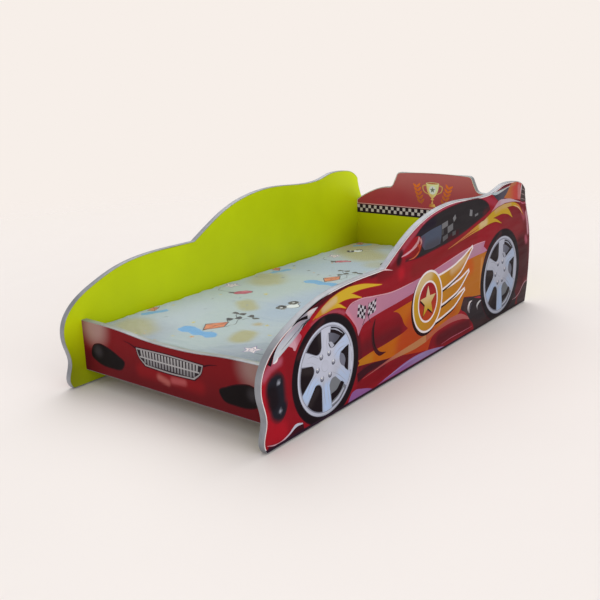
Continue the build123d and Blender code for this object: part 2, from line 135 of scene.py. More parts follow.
def shape(*runs):
    """A closed outline of smooth runs, each from the end of the one before. A run of one point
    is a straight line, and so is what closes the outline."""
    outline = points(runs[0])[:1]
    for run in map(points, runs):
        run = np.vstack([outline[-1:], run]) if len(outline) > 1 else run
        curve = spline(run) if len(run) > 2 else run
        outline = np.vstack([outline, curve[1:]])
    return outline[:-1] if np.allclose(outline[0], outline[-1]) else outline


def blob(run):
    """A closed smooth outline."""
    return spline(run, closed=True)


def polar(angle, reach, about=(0.0, 0.0)):
    """The point at an angle in degrees and a distance."""
    turn = math.radians(angle)
    return (about[0] + reach * math.cos(turn), about[1] + reach * math.sin(turn))


def ellipse(centre, wide, high=None, turn=0.0):
    """An ellipse of half axes wide and high, or a circle."""
    high = high or wide
    count = max(16, round(2 * math.pi * max(wide, high) / 5))
    angle = np.arange(count) * 2 * math.pi / count
    x, y = wide * np.cos(angle), high * np.sin(angle)
    return moved(np.stack([x, y], 1), centre, 1.0, turn)


def star(centre, outer, inner, turn=90.0):
    """A star with five points."""
    corners = [polar(36 * k, inner if k % 2 else outer) for k in range(10)]
    return moved(np.array(corners), centre, 1.0, turn)


def normals_of(line, closed):
    """Unit normals to the left of a line of points, mitred at its corners."""
    if closed:
        before, after = np.roll(line, 1, 0), np.roll(line, -1, 0)
    else:
        before = np.vstack([2 * line[:1] - line[1:2], line[:-1]])
        after = np.vstack([line[1:], 2 * line[-1:] - line[-2:-1]])
    into, out = line - before, after - line
    into /= np.linalg.norm(into, axis=1)[:, None]
    out /= np.linalg.norm(out, axis=1)[:, None]
    turned = [np.stack([-d[:, 1], d[:, 0]], 1) for d in (into, out)]
    share = 1 + (turned[0] * turned[1]).sum(1)[:, None]
    return (turned[0] + turned[1]) / np.maximum(share, MITRE_LIMIT)


def ribbon(run, *widths):
    """A band along a smooth line; the widths are spread evenly along it."""
    middle = spline(run)
    along = np.r_[0, np.cumsum(np.linalg.norm(np.diff(middle, axis=0), axis=1))]
    width = np.interp(along / along[-1], np.linspace(0, 1, len(widths)), widths)
    side = normals_of(middle, False) * np.maximum(width, THINNEST)[:, None] / 2
    return np.vstack([middle + side, (middle - side)[::-1]])


def turning(loop):
    """Twice the area of a closed outline, negative where it runs clockwise."""
    x, y = loop.T
    return (x * np.roll(y, -1) - y * np.roll(x, -1)).sum()


def inset(loop, amount):
    """A closed outline, run counterclockwise, moved inwards."""
    return loop + normals_of(loop, True) * amount


def grown(edge, amount):
    """A closed outline of either direction, moved outwards."""
    return inset(edge, -amount if turning(edge) > 0 else amount)


def moved(outline, centre, size=1.0, turn=0.0):
    """An outline drawn about (0, 0), turned, scaled and put in its place."""
    c, s = math.cos(math.radians(turn)), math.sin(math.radians(turn))
    turned = np.stack([outline[:, 0] * c - outline[:, 1] * s,
                       outline[:, 0] * s + outline[:, 1] * c], 1)
    return turned * size + np.array(centre, float)


# --- paints: a colour, or a function from points to colours -------------------------------
def painted(paint, at):
    """A paint's colours at some points."""
    return paint(at) if callable(paint) else np.tile(paint, (len(at), 1))


def ease(t):
    """A smooth step from 0 to 1."""
    t = np.clip(t, 0, 1)
    return t * t * (3 - 2 * t)


def fade(colour, other, start, end):
    """One colour at start that turns into the other at end."""
    start, end = np.array(start, float), np.array(end, float)
    way = end - start
    return lambda at: colour + (other - colour) * ease((at - start) @ way / (way @ way))[:, None]


def distance(at, line):
    """How far each point is from a line of points."""
    best = np.full(len(at), np.inf)
    for start, end in zip(line[:-1], line[1:]):
        way = end - start
        share = np.clip((at - start) @ way / max(way @ way, 1e-9), 0, 1)[:, None]
        best = np.minimum(best, np.linalg.norm(at - start - share * way, axis=1))
    return best


def airbrush(ground, *strokes):
    """A ground paint under soft strokes of (run, solid reach, soft reach, colour, cover)."""

    def paint(at):
        colour = painted(ground, at)
        for run, solid, soft, stroke, cover in strokes:
            line = points(run)
            if len(line) == 1:
                line = np.vstack([line, line + 0.1])
            weight = cover * (1 - ease((distance(at, line) - solid) / soft))
            colour = colour + (stroke - colour) * weight[:, None]
        return colour

    return paint


# --- from shapes to one printed mesh ----------------------------------------------------
def within(outline, at):
    """Which points lie inside a closed outline."""
    inside = np.zeros(len(at), bool)
    low, high = outline.min(0), outline.max(0)
    near = np.flatnonzero(((at >= low) & (at <= high)).all(1))
    x, y = at[near].T
    odd = np.zeros(len(near), bool)
    for (x0, y0), (x1, y1) in zip(outline, np.roll(outline, -1, 0)):
        if y0 != y1:
            odd ^= ((y0 > y) != (y1 > y)) & (x < (x1 - x0) * (y - y0) / (y1 - y0) + x0)
    inside[near] = odd
    return inside


def partition(outline, layers, spacing):
    """Points, triangles and each triangle's colours at its corners, for layers of paint.

    The layers' edges cut the triangles, so every painted edge is sharp, and the colours at the
    corners carry the soft strokes."""
    corners, edges = [], []
    for loop in [outline] + [edge for edge, _ in layers]:
        first = len(corners)
        corners.extend(map(tuple, loop))
        edges.extend((first + i, first + (i + 1) % len(loop)) for i in range(len(loop)))
    low, high = outline.min(0), outline.max(0)
    rows = np.arange(low[1] + spacing / 2, high[1], spacing)
    for row, up in enumerate(rows):
        start = low[0] + spacing * (0.5 if row % 2 else 0.25)
        corners.extend((x, up) for x in np.arange(start, high[0], spacing))
    found = delaunay_2d_cdt([Vector(p) for p in corners], edges, [], 0, 1e-3)
    at = np.array([tuple(p) for p in found[0]])
    faces = np.array(found[2])
    middles = at[faces].mean(1)
    kept = within(outline, middles)
    faces, middles = faces[kept], middles[kept]
    top = np.zeros(len(faces), int)
    for i, (edge, _) in enumerate(layers):
        top[within(edge, middles)] = i
    colours = np.zeros((len(faces), 3, 3))
    for i in np.unique(top):
        mine = faces[top == i]
        inks = painted(layers[i][1], at[mine].reshape(-1, 2))
        colours[top == i] = np.clip(inks, 0, 1).reshape(-1, 3, 3)
    used = np.unique(faces)
    renumber = np.zeros(len(at), int)
    renumber[used] = np.arange(len(used))
    return at[used], renumber[faces], colours


def add_piece(name, vertices, faces, material, smooth=True):
    mesh = bpy.data.meshes.new(name)
    mesh.from_pydata([tuple(v) for v in vertices], [], [tuple(map(int, f)) for f in faces])
    mesh.validate()
    piece = bpy.data.objects.new(name, mesh)
    bpy.context.scene.collection.objects.link(piece)
    mesh.materials.append(material)
    mesh.polygons.foreach_set("use_smooth", [smooth] * len(mesh.polygons))
    return piece


def handed_over(piece, body, slot, *stands_for):
    """Ties a finished piece to its body and hides the CAD nodes it replaces; slot is not used."""
    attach(piece, body)
    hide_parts(*stands_for)
    return piece


def wear(piece, material):
    """Gives a piece its only material."""
    piece.data.materials.clear()
    piece.data.materials.append(material)


def sharp_edges(work, angle):
    """The edges where faces meet at more than an angle in degrees."""
    return [e for e in work.edges if e.is_manifold and e.calc_face_angle(0) > math.radians(angle)]


def reworked(piece, change):
    """Changes a piece's mesh by a function of its editable form."""
    work = bmesh.new()
    work.from_mesh(piece.data)
    change(work)
    work.to_mesh(piece.data)
    work.free()


def tidy_normals(piece, angle):
    """Faces outwards, and shades smooth except over edges sharper than an angle in degrees."""

    def change(work):
        bmesh.ops.recalc_face_normals(work, faces=work.faces[:])
        sharp = set(sharp_edges(work, angle))
        for edge in work.edges:
            edge.smooth = edge not in sharp

    reworked(piece, change)


def paint_corners(piece, colours):
    """Writes the colours of the first faces; the rest of the piece stays white."""
    inks = piece.data.color_attributes.new("ink", "FLOAT_COLOR", "CORNER")
    values = np.tile(np.r_[WHITE, 1.0], (len(piece.data.loops), 1))
    flat_colours = colours.reshape(-1, 3)
    values[:len(flat_colours), :3] = flat_colours
    inks.data.foreach_set("color", values.astype(np.float32).ravel())


def rims(triangles):
    """The loops of corners round some triangles, in the triangles' own direction."""
    half = {(t[i], t[(i + 1) % 3]) for t in triangles for i in range(3)}
    after = {start: end for start, end in half if (end, start) not in half}
    loops = []
    while after:
        loop = [min(after)]
        while (following := after.pop(loop[-1])) != loop[0]:
            loop.append(following)
        loops.append(loop)
    return loops


def printed_film(name, node, outline, layers, place, back, strength):
    """One thin closed film with its artwork on the front. place puts (along, up) in the row
    frame, back is the way to its other face, and strength is how bright its inks are."""
    at, faces, colours = partition(outline, layers, GRID)
    colours = np.clip((colours - SHEEN) * strength, 0, BRIGHTEST)
    front = np.array([place(along, up) for along, up in at])
    count = len(front)
    a, b, c = front[faces[0]]
    if np.cross(b - a, c - a) @ np.array(back) > 0:
        faces, colours = faces[:, ::-1], colours[:, ::-1]
    rim = rims(faces)[0]
    rear = front[rim] + np.array(back) * FILM
    size = len(rim)
    sides = [(rim[(i + 1) % size], rim[i], count + i, count + (i + 1) % size)
             for i in range(size)]
    closing = [tuple(count + i for i in reversed(range(size)))]
    piece = add_piece(name, np.vstack([front, rear]), list(map(tuple, faces)) + sides + closing,
                      materials["film"], smooth=False)
    paint_corners(piece, colours)
    handed_over(piece, "bed_frame", "printed_film", node)


# --- materials --------------------------------------------------------------------------
class Shader:
    """A material built node by node; a socket given as an input is linked, a value is set."""

    def __init__(self, name, **surface):
        self.material = bpy.data.materials.new(name)
        self.material.use_nodes = True
        self.tree = self.material.node_tree
        self.surface = self.tree.nodes["Principled BSDF"]
        self.at = self.add("TexCoord").outputs["Object"]
        self.normal = None
        self.set(**surface)

    def set(self, **values):
        for name, value in values.items():
            self.feed(self.surface.inputs[name.replace("_", " ")], value)

    def feed(self, socket, value):
        if isinstance(value, bpy.types.NodeSocket):
            self.tree.links.new(value, socket)
        elif isinstance(value, np.ndarray):
            socket.default_value = (*map(float, value), 1.0)
        else:
            socket.default_value = value

    def add(self, kind, inputs=None, **settings):
        node = self.tree.nodes.new("ShaderNode" + kind)
        for name, value in settings.items():
            setattr(node, name, value)
        for name, value in (inputs or {}).items():
            self.feed(node.inputs[name], value)
        return node

    def inks(self):
        """The colours painted on the piece's corners."""
        return self.add("Attribute", attribute_name="ink").outputs["Color"]

    def stretched(self, scale):
        """The object's coordinates with their own scale along each axis."""
        return self.add("Mapping", {"Vector": self.at, "Scale": scale}).outputs[0]

    def noise(self, scale, detail, at=None, rough=0.5, warp=0.0):
        return self.add("TexNoise", {"Vector": at or self.at, "Scale": scale, "Detail": detail,
                                     "Roughness": rough, "Distortion": warp}).outputs["Fac"]

    def cells(self, scale, at=None):
        return self.add("TexVoronoi", {"Vector": at or self.at, "Scale": scale}).outputs["Distance"]

    def wave(self, scale, direction, at=None, warp=0.0):
        return self.add("TexWave", {"Vector": at or self.at, "Scale": scale, "Distortion": warp},
                        bands_direction=direction).outputs["Fac"]

    def remap(self, value, low, high, start=0.0, end=1.0):
        return self.add("MapRange", {"Value": value, "From Min": start, "From Max": end,
                                     "To Min": low, "To Max": high}).outputs[0]

    def math(self, kind, a, b):
        node = self.add("Math", operation=kind)
        self.feed(node.inputs[0], a)
        self.feed(node.inputs[1], b)
        return node.outputs[0]

    def mix(self, share, a, b, kind="MIX"):
        node = self.add("Mix", data_type="RGBA", blend_type=kind)
        for socket, value in zip((node.inputs[0], node.inputs[6], node.inputs[7]), (share, a, b)):
            self.feed(socket, value)
        return node.outputs[2]

    def ramp(self, value, *stops):
        node = self.add("ValToRGB", {"Fac": value})
        elements = node.color_ramp.elements
        while len(elements) < len(stops):
            elements.new(0.5)
        for element, (place, colour) in zip(elements, stops):
            element.position = place
            element.color = (*map(float, colour), 1.0)
        return node.outputs["Color"]

    def shaded(self, colour, value, least, start=0.3, end=0.7):
        """A colour times least where the value is at its start, and whole at its end."""
        shade = self.ramp(value, (start, [least] * 3), (end, [1.0] * 3))
        return self.mix(1.0, colour, shade, "MULTIPLY")

    def finished(self, colour, roughness, *bumps):
        """The material in its colour and roughness, with bumps of (height, depth in metres)."""
        self.set(Base_Color=colour, Roughness=roughness)
        for height, depth in bumps:
            bump = self.add("Bump", {"Height": height, "Distance": depth, "Strength": 1.0})
            if self.normal:
                self.feed(bump.inputs["Normal"], self.normal)
            self.normal = bump.outputs[0]
        self.set(Normal=self.normal)
        return self.material


def film_material():
    """Glossy film: airbrushed ink with a fine print grain, rub marks and a little orange peel."""
    s = Shader("printed_film", Specular_IOR_Level=0.04)
    inks = s.inks()
    printed = s.shaded(s.shaded(inks, s.noise(900, 2.0), 0.86), s.noise(9, 4.0), 0.93)
    rubbed = s.remap(s.noise(60, 6.0, s.stretched((1, 0.15, 1))), 0.36, 0.50, 0.4, 0.7)
    return s.finished(printed, rubbed, (s.noise(220, 2.0), 0.00006), (s.noise(14, 2.0), 0.0003))


def laminate_material(name, deep, bright, corner):
    """Lime melamine: a fine pearl pattern and faint mottling, with painted shade low down towards
    the tail and low at the nose, and a painted highlight high up towards the tail.
    """
    s = Shader(name, Specular_IOR_Level=0.2)
    pearl = s.cells(900)
    colour = s.ramp(s.noise(5, 5.0), (0.25, deep), (0.75, bright))
    place = s.add("SeparateXYZ", {"Vector": s.at}).outputs
    # painted shade in the corner low down towards the tail, in the colour corner
    tail = s.remap(place["Y"], 0.0, 1.0, 0.44, 0.82)
    low = s.remap(place["Z"], 1.0, 0.0, 0.20, 0.42)
    colour = s.mix(s.math("MULTIPLY", tail, low), colour, corner)
    # a painted highlight high up towards the tail, lighter than bright
    crest_highlight = s.remap(place["Z"], 0.0, 1.0, 0.22, 0.42)
    colour = s.mix(s.math("MULTIPLY", tail, crest_highlight), colour, bright * 1.4)
    # painted shade low down at the nose, a quarter of the way to the colour corner
    nose = s.remap(place["Y"], 0.7, 0.0, NOSE, NOSE + 0.16)
    foot = s.remap(place["Z"], 1.0, 0.0, 0.06, 0.20)
    colour = s.mix(s.math("MULTIPLY", nose, foot), colour, corner * 0.25)
    rough = s.remap(s.noise(40, 5.0), 0.34, 0.50, 0.3, 0.7)
    return s.finished(s.shaded(colour, pearl, 0.93, 0.0, 0.5), rough,
                      (pearl, 0.00005), (s.noise(12, 2.0), 0.0002))


def edging_material():
    """Silver-grey edge band with the fine lengthwise lines of extrusion."""
    s = Shader("silver_edging", Metallic=0.35)
    lines = s.noise(500, 2.0, s.stretched((1.0, 0.02, 0.02)))
    colour = s.ramp(s.noise(25, 4.0), (0.3, ink(136, 139, 146)), (0.7, ink(156, 159, 167)))
    return s.finished(s.shaded(colour, lines, 0.90), s.remap(lines, 0.32, 0.48), (lines, 0.00003))


def wood_material(name, light, dark, ring, along):
    """Sawn wood: rings drawn out along the board, pores, knots and a rough sawn surface."""
    s = Shader(name)
    scale = [22.0, 22.0, 22.0]
    scale["XYZ".index(along)] = 0.9
    grain_at = s.stretched(scale)
    rings = s.wave(0.55, "DIAGONAL", grain_at, 7.0)
    fibres = s.noise(14, 6.0, grain_at, 0.7)
    knots = s.cells(2.4, s.stretched([3.0 if k == along else 9.0 for k in "XYZ"]))
    colour = s.mix(s.remap(rings, 0.0, 0.75), light, dark)
    colour = s.mix(s.remap(fibres, 0.0, 0.5, 0.45, 0.8), colour, ring)
    colour = s.mix(s.remap(knots, 0.8, 0.0, 0.0, 0.13), colour, ink(110, 66, 34))
    return s.finished(colour, s.remap(fibres, 0.5, 0.75), (fibres, 0.0003), (rings, 0.0002))


def metal_material(name, colour, rough, fineness, depth):
    """Plated or cast metal with smudges and a grain of its own fineness and depth."""
    s = Shader(name, Metallic=1.0)
    smudge = s.noise(120, 4.0)
    return s.finished(s.ramp(smudge, (0.3, colour * 0.72), (0.7, colour)),
                      s.remap(smudge, rough - 0.08, rough + 0.12, 0.3, 0.7),
                      (s.noise(fineness, 3.0), depth))


def plastic_material(name, colour, rough):
    """Moulded plastic: spark-eroded texture, faint flow marks, scuffs."""
    s = Shader(name, Specular_IOR_Level=0.45)
    flow = s.noise(45, 5.0, warp=1.0)
    return s.finished(s.ramp(flow, (0.25, colour * 0.82), (0.75, colour)),
                      s.remap(flow, rough - 0.06, rough + 0.1, 0.3, 0.7), (s.cells(1300), 0.00004))


def woven(s, pitch):
    """The height of a plain weave whose threads are pitch metres apart."""
    scale = 1 / pitch / 6.283 * 2
    return s.math("MAXIMUM", s.wave(scale, "X"), s.wave(scale, "Y"))


def sheet_material():
    """Printed cotton: plain weave, uneven threads, slight creases and a soft sheen."""
    s = Shader("printed_cotton", Sheen_Weight=0.35, Sheen_Roughness=0.5)
    weave = woven(s, 0.0011)
    thread = s.noise(420, 3.0, s.stretched((1.0, 0.12, 1.0)))
    inks = s.inks()
    colour = s.shaded(s.shaded(inks, weave, 0.86, 0.0, 0.8), thread, 0.93)
    return s.finished(colour, s.remap(thread, 0.78, 0.92),
                      (weave, 0.0002), (s.noise(35, 4.0, warp=1.5), 0.0012))


def cloth_material(name, colour, pitch, sheen=0.3):
    """Plain woven or knitted fabric in one yarn colour."""
    s = Shader(name, Sheen_Weight=sheen, Sheen_Roughness=0.5)
    weave = woven(s, pitch)
    yarn = s.noise(260, 3.0)
    tint = s.ramp(weave, (0.0, colour * 0.6), (0.8, colour))
    return s.finished(s.shaded(tint, yarn, 0.9), s.remap(yarn, 0.8, 0.95), (weave, pitch * 0.3))


materials = {
    "film": film_material(),
    # the third colour is the painted shade in the corner low down towards the tail
    "laminate": laminate_material("lime_laminate",
                                  ink(197, 214, 4), ink(211, 228, 8), ink(158, 154, 4)),
    # the same lime painted darker and duller as shade for the headboard, with its own painted corner
    # shade
    "shaded_head_laminate": laminate_material("lime_laminate_head_shaded",
                                       ink(186, 190, 2), ink(200, 204, 6), ink(180, 182, 4)),
    "edging": edging_material(),
    "rail": wood_material("softwood", ink(214, 180, 132), ink(186, 140, 88), ink(160, 112, 66), "Y"),
    "slat": wood_material("pine", ink(226, 194, 146), ink(202, 160, 106), ink(176, 128, 78), "X"),
    "beech": wood_material("beech", ink(212, 170, 128), ink(190, 142, 98), ink(150, 104, 70), "X"),
    "steel": metal_material("zinc_plated_steel", ink(206, 206, 200), 0.3, 1500, 0.00002),
    "zinc": metal_material("die_cast_zinc", ink(160, 162, 166), 0.42, 700, 0.00008),
    "cap": plastic_material("lime_cap_plastic", ink(176, 196, 40), 0.4),
    "glide": plastic_material("glide_plastic", ink(206, 196, 182), 0.5),
    "sheet": sheet_material(),
    "cover": cloth_material("mattress_cotton", ink(232, 230, 222), 0.0016),
    "webbing": cloth_material("webbing", ink(196, 190, 176), 0.0024, 0.1),
    "elastic": cloth_material("elastic", ink(228, 226, 220), 0.0012, 0.2),
}


# --- artwork of the side boards ---------------------------------------------------------
RIM = 121.0                   # mm, the printed rim's radius that the wheel is drawn for
HUB = np.array((-6.0, 13.0))  # mm, its hub from the rim's middle


def wheel_gap(middle, near, spread=18.5, outer=109.5):
    """A dark gap between spokes: an arc along the rim, two straight sides, a rounded inner end."""
    arc = [polar(middle + spread * k, outer) for k in (-1, -0.5, 0, 0.5, 1)]
    inner = [polar(middle + turn, near + rise, HUB)
             for turn, rise in ((15, 9), (8, 2), (0, 0), (-8, 2), (-15, 9))]
    return shape(arc, inner[:1], inner[1:])


def spoke_creases(middle, shade):
    """The fine lines along a spoke's two sides."""
    layers = []
    for side, tone in ((-1, 0.66), (1, 0.86)):
        crease = [polar(middle + 4 * side, 96), polar(middle + 7 * side, 66, HUB),
                  polar(middle + 12 * side, 40, HUB)]
        layers.append((ribbon(crease, 0.8, 1.8, 0.8), SILVER * tone * shade))
    return layers


def wheel_drawing(shade):
    """A printed alloy wheel about its middle: rim, gaps, brake disc, six spokes and nuts."""
    light, mid, dark = SILVER * 1.08 * shade, SILVER * 0.84 * shade, STEEL * 0.8 * shade
    blue = PALE_BLUE * 1.22 * shade
    face = airbrush(
        fade(light, mid, polar(100, RIM), polar(-80, RIM)),
        ([polar(205, 92), polar(212, 62)], 8, 32, blue, 0.85),
        ([polar(33, 98), polar(33, 64)], 6, 28, blue, 0.55),
        ([polar(270, 98), polar(272, 54)], 8, 26, blue, 0.85),
        ([polar(332, 98), polar(332, 70)], 6, 26, blue * 0.95, 0.6),
        ([HUB], 16, 40, light, 0.8),
    )
    layers = [
        (ellipse((0, 0), RIM + 1.5), STEEL * 0.6),
        (ellipse((0, 0), RIM), fade(light * 1.1, mid, polar(140, RIM), polar(-40, RIM))),
        (ellipse((0.4, 0.4), RIM - 4), fade(mid, light, polar(140, RIM), polar(-40, RIM))),
        (ellipse((0.6, 0.3), RIM - 7.5), dark * 0.9),
        (ellipse((0.4, 0.2), RIM - 8.8), face),
    ]
    for middle, near in ((121, 47), (180, 49), (239, 53)):
        sheen = ([polar(middle - 14, 62), polar(middle - 16, 100)], 4, 14, CHARCOAL, 0.9)
        layers.append((wheel_gap(middle, near - 2.5, 20, 111.5), dark))
        layers.append((wheel_gap(middle, near), airbrush(BLACK, sheen)))
    layers += [
        (wheel_gap(0, 62, 19, 111.5), dark),
        (shape("62,28 80,36 98,40", "97,5 94,-32", "78,-16 83,2 76,18 62,28"), BLACK),
        (shape("98,40 107,34 112,0 107,-34 95,-32", "97,5 98,40"),
         fade(mid, light, (96, 0), (110, 0))),
        (wheel_gap(60, 46, 20, 111.5), dark),
        (wheel_gap(60, 48), BLACK),
        (shape("9,96 34,88 60,74", "48,66 30,62 10,72"),
         fade(STEEL * 0.7, STEEL * 0.5, (10, 90), (50, 66))),
        (shape("8,72 22,68 34,56", "24,52 9,70"), mid),
        (ribbon([polar(84, 106), polar(66, 105), polar(46, 106)], 1, 4, 1), mid),
        (wheel_gap(300, 52, 20, 111.5), dark),
        (wheel_gap(300, 54), ink(112, 116, 122) * shade),
        (shape("16,-72 40,-68 66,-52 76,-60", "56,-80 19,-94"), BLACK),
        (ribbon("19,-101 46,-94 74,-74", 4, 8, 5), fade(light, mid, (20, -100), (70, -76))),
        (ribbon("22,-110 50,-101 84,-76", 2, 6, 4), STEEL * 0.7 * shade),
    ]
    layers += [crease for k in range(6) for crease in spoke_creases(30 + 60 * k, shade)]
    layers += [
        (ellipse(HUB, 17), fade(mid, light, HUB - 14, HUB + 14)),
        (ellipse(HUB, 15), fade(light, light * 0.92, HUB - 12, HUB + 12)),
    ]
    for k in range(6):
        place = np.array(polar(62 + 60 * k, 34, HUB))
        layers += [
            (ellipse(place + (1, -2), 8), STEEL * 0.5 * shade),
            (ellipse(place, 6.4), fade(STEEL * 0.8, light * 1.1, place - 5, place + 5)),
            (ellipse(place + (-1.2, 1.4), 2.4), WHITE * shade),
        ]
    return layers


def placed(layers, centre, size=1.0):
    """Layers drawn about (0, 0), scaled and put in their place with their paints."""
    middle = np.array(centre, float)

    def shifted(paint):
        return lambda at: painted(paint, (at - middle) / size)

    return [(edge * size + middle, shifted(paint)) for edge, paint in layers]


def wheel(centre, size, tyre, shade):
    """A wheel in its tyre, size times the drawn one."""
    rubber = airbrush(BLACK, ([polar(150, tyre - 7), polar(95, tyre - 7)], 2, 10, BROWN, 0.6))
    around = [(ellipse((0, 0), tyre + 3), DARK_MAROON), (ellipse((0, 0), tyre), rubber)]
    return placed(around + wheel_drawing(shade), centre, size)


def chequers(corner, across, up, light, dark, squares=4):
    """A waving chequered cloth: its lower corner, and the whole way across and up."""
    corner, across, up = (np.array(v, float) for v in (corner, across, up))

    def at(i, j):
        wavy = math.sin(i / squares * 2 * math.pi) * 0.06
        return corner + across * i / squares + up * (j / squares + wavy)

    edge = [at(i, 0) for i in range(squares + 1)]
    edge += [at(i, squares) for i in range(squares, -1, -1)]
    cells = [[at(i, j), at(i + 1, j), at(i + 1, j + 1), at(i, j + 1)]
             for i in range(squares) for j in range(squares) if (i + j) % 2 == 0]
    return [(np.array(edge), light)] + [(np.array(cell), dark) for cell in cells]


def outlined(edge, paint):
    """A shape with a white edge and a hard shadow."""
    return [
        (grown(edge, 7) + (-9, -7), DARK_MAROON * 0.5),
        (grown(edge, 6.5), WHITE * 0.9),
        (edge, paint),
    ]


def emblem():
    """A starred roundel with a wing of three feathers behind it."""
    centre = np.array((774.0, 184.0))
    gold = airbrush(
        fade(YELLOW, AMBER, (700, 260), (860, 110)),
        ("710,244 780,268", 4, 34, CREAM, 0.7),
        ("930,250 1020,272", 4, 22, CREAM, 0.5),
    )
    return [
        *outlined(ribbon("790,126 880,132 950,142 1016,166", 40, 34, 26, 2), gold),
        *outlined(ribbon("800,172 900,178 980,192 1044,222", 44, 38, 30, 2), gold),
        *outlined(ribbon("790,222 890,230 980,250 1066,296", 50, 44, 36, 2), gold),
        *outlined(ellipse(centre, 86, 90), gold),
        (ellipse(centre, 61, 65), WHITE * 0.9),
        (ellipse(centre, 55, 59), fade(RED, FIRE, centre + (0, 50), centre - (0, 50))),
        (star(centre + (-4, -4), 50, 21), DARK_MAROON * 0.5),
        (star(centre, 50, 21), fade(CREAM, YELLOW, centre + (0, 40), centre - (0, 30))),
    ]


def body_paint():
    """The car's airbrushed red, from bright bonnet to dark tail."""
    return airbrush(
        fade(ink(142, 31, 41), ink(104, 36, 42), (1150, 330), (1480, 160)),
        ("420,130 480,160 560,150 640,165", 10, 50, DEEP_RED, 0.75),
        ("430,140 520,135 600,135", 4, 30, MAROON, 0.6),
        ("400,35 560,40 700,48 900,45 1050,35", 6, 26, DEEP_RED, 0.8),
        ("850,40 950,42 1050,36", 8, 30, MAROON, 0.9),
        ("420,78 520,66", 6, 14, DARK_MAROON, 0.8),
        ("690,300 800,308 900,322 1080,330", 8, 30, ink(128, 34, 38), 0.9),
        ("615,305", 4, 26, BRIGHT_RED, 0.9),
        ("20,170 8,100 20,40 60,36", 10, 28, BRIGHT_RED, 0.7),
        ("4,190 26,206 62,213", 3, 15, ROSE, 0.85),
        ("100,215 105,150 112,90", 8, 22, ink(132, 30, 38), 0.8),
        ("160,258 200,278 240,284", 6, 20, BRIGHT_RED, 0.6),
        ("200,306 260,322 330,330 420,333 524,333", 3, 9, DARK_MAROON, 0.9),
        ("560,345 620,374 682,406 740,428", 3, 9, ROSE, 0.45),
        ("740,428 800,442 900,452 1050,454 1130,447", 4, 8, ROSE, 0.65),
        ("1100,450 1170,438 1235,418", 5, 14, ink(160, 56, 74), 0.8),
        ("500,320 560,325 600,345", 4, 22, DEEP_RED, 0.9),
        ("380,322 440,322", 4, 18, ink(150, 32, 42), 0.7),
        ("600,342 612,362", 6, 14, BLACK, 0.85),
        ("330,262 300,275 250,283 190,268", 2, 6, ROSE, 0.55),
        ("388,190 402,130 396,60", 3, 16, MAROON, 0.8),
        ("1330,322 1400,325 1450,300", 10, 50, ink(124, 40, 46), 0.8),
        ("1470,220 1475,150 1470,90", 24, 44, ink(68, 30, 34), 0.95),
        ("1520,200 1530,120", 10, 36, ink(66, 34, 38), 0.9),
        ("1506,347 1522,310 1535,265", 2, 8, PALE_PINK, 0.75),
        ("1516,250 1524,236", 4, 12, ROSE, 0.7),
        ("1490,330 1470,352", 4, 14, ROSE, 0.5),
        ("1452,52 1480,74", 8, 20, MAROON, 0.7),
    )


def fog_lamp():
    """A dark lamp opening with two glints, sprayed into the red."""
    lamp = airbrush(
        body_paint(),
        ("38,158 48,160 52,96 58,92", 20, 20, ink(38, 38, 46), 1.0),
        ("30,140 34,120", 12, 18, BLACK, 0.9),
        ("56,162", 1, 7, SILVER, 0.9),
        ("59,89", 1, 7, SILVER, 0.8),
    )
    return [(ellipse((46, 129), 44, 70, 8), lamp)]


def headlight():
    """The glass with its black lids, and the pale vent behind it."""
    glass = shape(
        "36,213 42,232 56,250 84,268 112,284 152,299 190,307 217,307",
        "190,292 172,279 150,268 138,261",
        "118,250 92,238 62,224 36,213",
    )
    cool = airbrush(
        fade(ink(190, 196, 208), ink(150, 146, 160), (50, 235), (175, 290)),
        ("60,232 110,256", 3, 10, ink(196, 200, 208), 0.8),
        ("180,300 210,306", 3, 10, WHITE * 0.85, 0.8),
    )
    line = STEEL * 0.5
    return [
        (shape("96,240 138,262 148,250 134,234", "120,221 112,232"),
         fade(PALE_PINK, ROSE, (110, 240), (146, 246))),
        (ribbon("24,214 36,232 56,252 66,262", 15, 9, 4, 1), BLACK),
        (ribbon("114,285 160,304 210,318 262,328", 1, 7, 6, 1), BLACK),
        (glass, cool),
        (ribbon("40,214 52,218 58,226", 3, 6, 2), WHITE),
        (ribbon("70,238 104,254 140,272", 0.6, 2.2, 0.8), line),
        (ribbon("84,262 116,278 150,290", 0.6, 2.0, 0.8), PALE_PINK),
        (ribbon("112,284 140,292 174,292", 1, 6, 9), BLACK),
        (ribbon("150,268 166,280 184,284", 2, 7, 3), CHARCOAL),
        (ribbon("134,266 150,277 178,283", 1, 3, 1), line),
        (ribbon("116,224 122,236 120,246", 3, 5, 2), PALE_PINK),
    ]


def flames(licks, paint, rim):
    """Smooth flame licks, each a ribbon of (run, *widths), over rims 4 mm wider."""
    under = [(ribbon(run, *[width + 4 for width in widths]), rim) for run, *widths in licks]
    return under + [(ribbon(*lick), paint) for lick in licks]


def fender_flame():
    """Flame licks over the front wheel."""
    warm = airbrush(
        fade(ink(190, 130, 44), ink(206, 172, 52), (200, 282), (320, 306)),
        ("240,294 290,306", 3, 12, CREAM, 0.7),
    )
    licks = (
        ("194,278 236,296 300,312 390,315 512,297", 1, 16, 20, 12, 1),
        ("216,286 276,300 344,303 412,284", 6, 20, 15, 1),
        ("206,281 252,290 300,289 338,273", 4, 15, 12, 1),
    )
    return flames(licks, warm, FIRE)


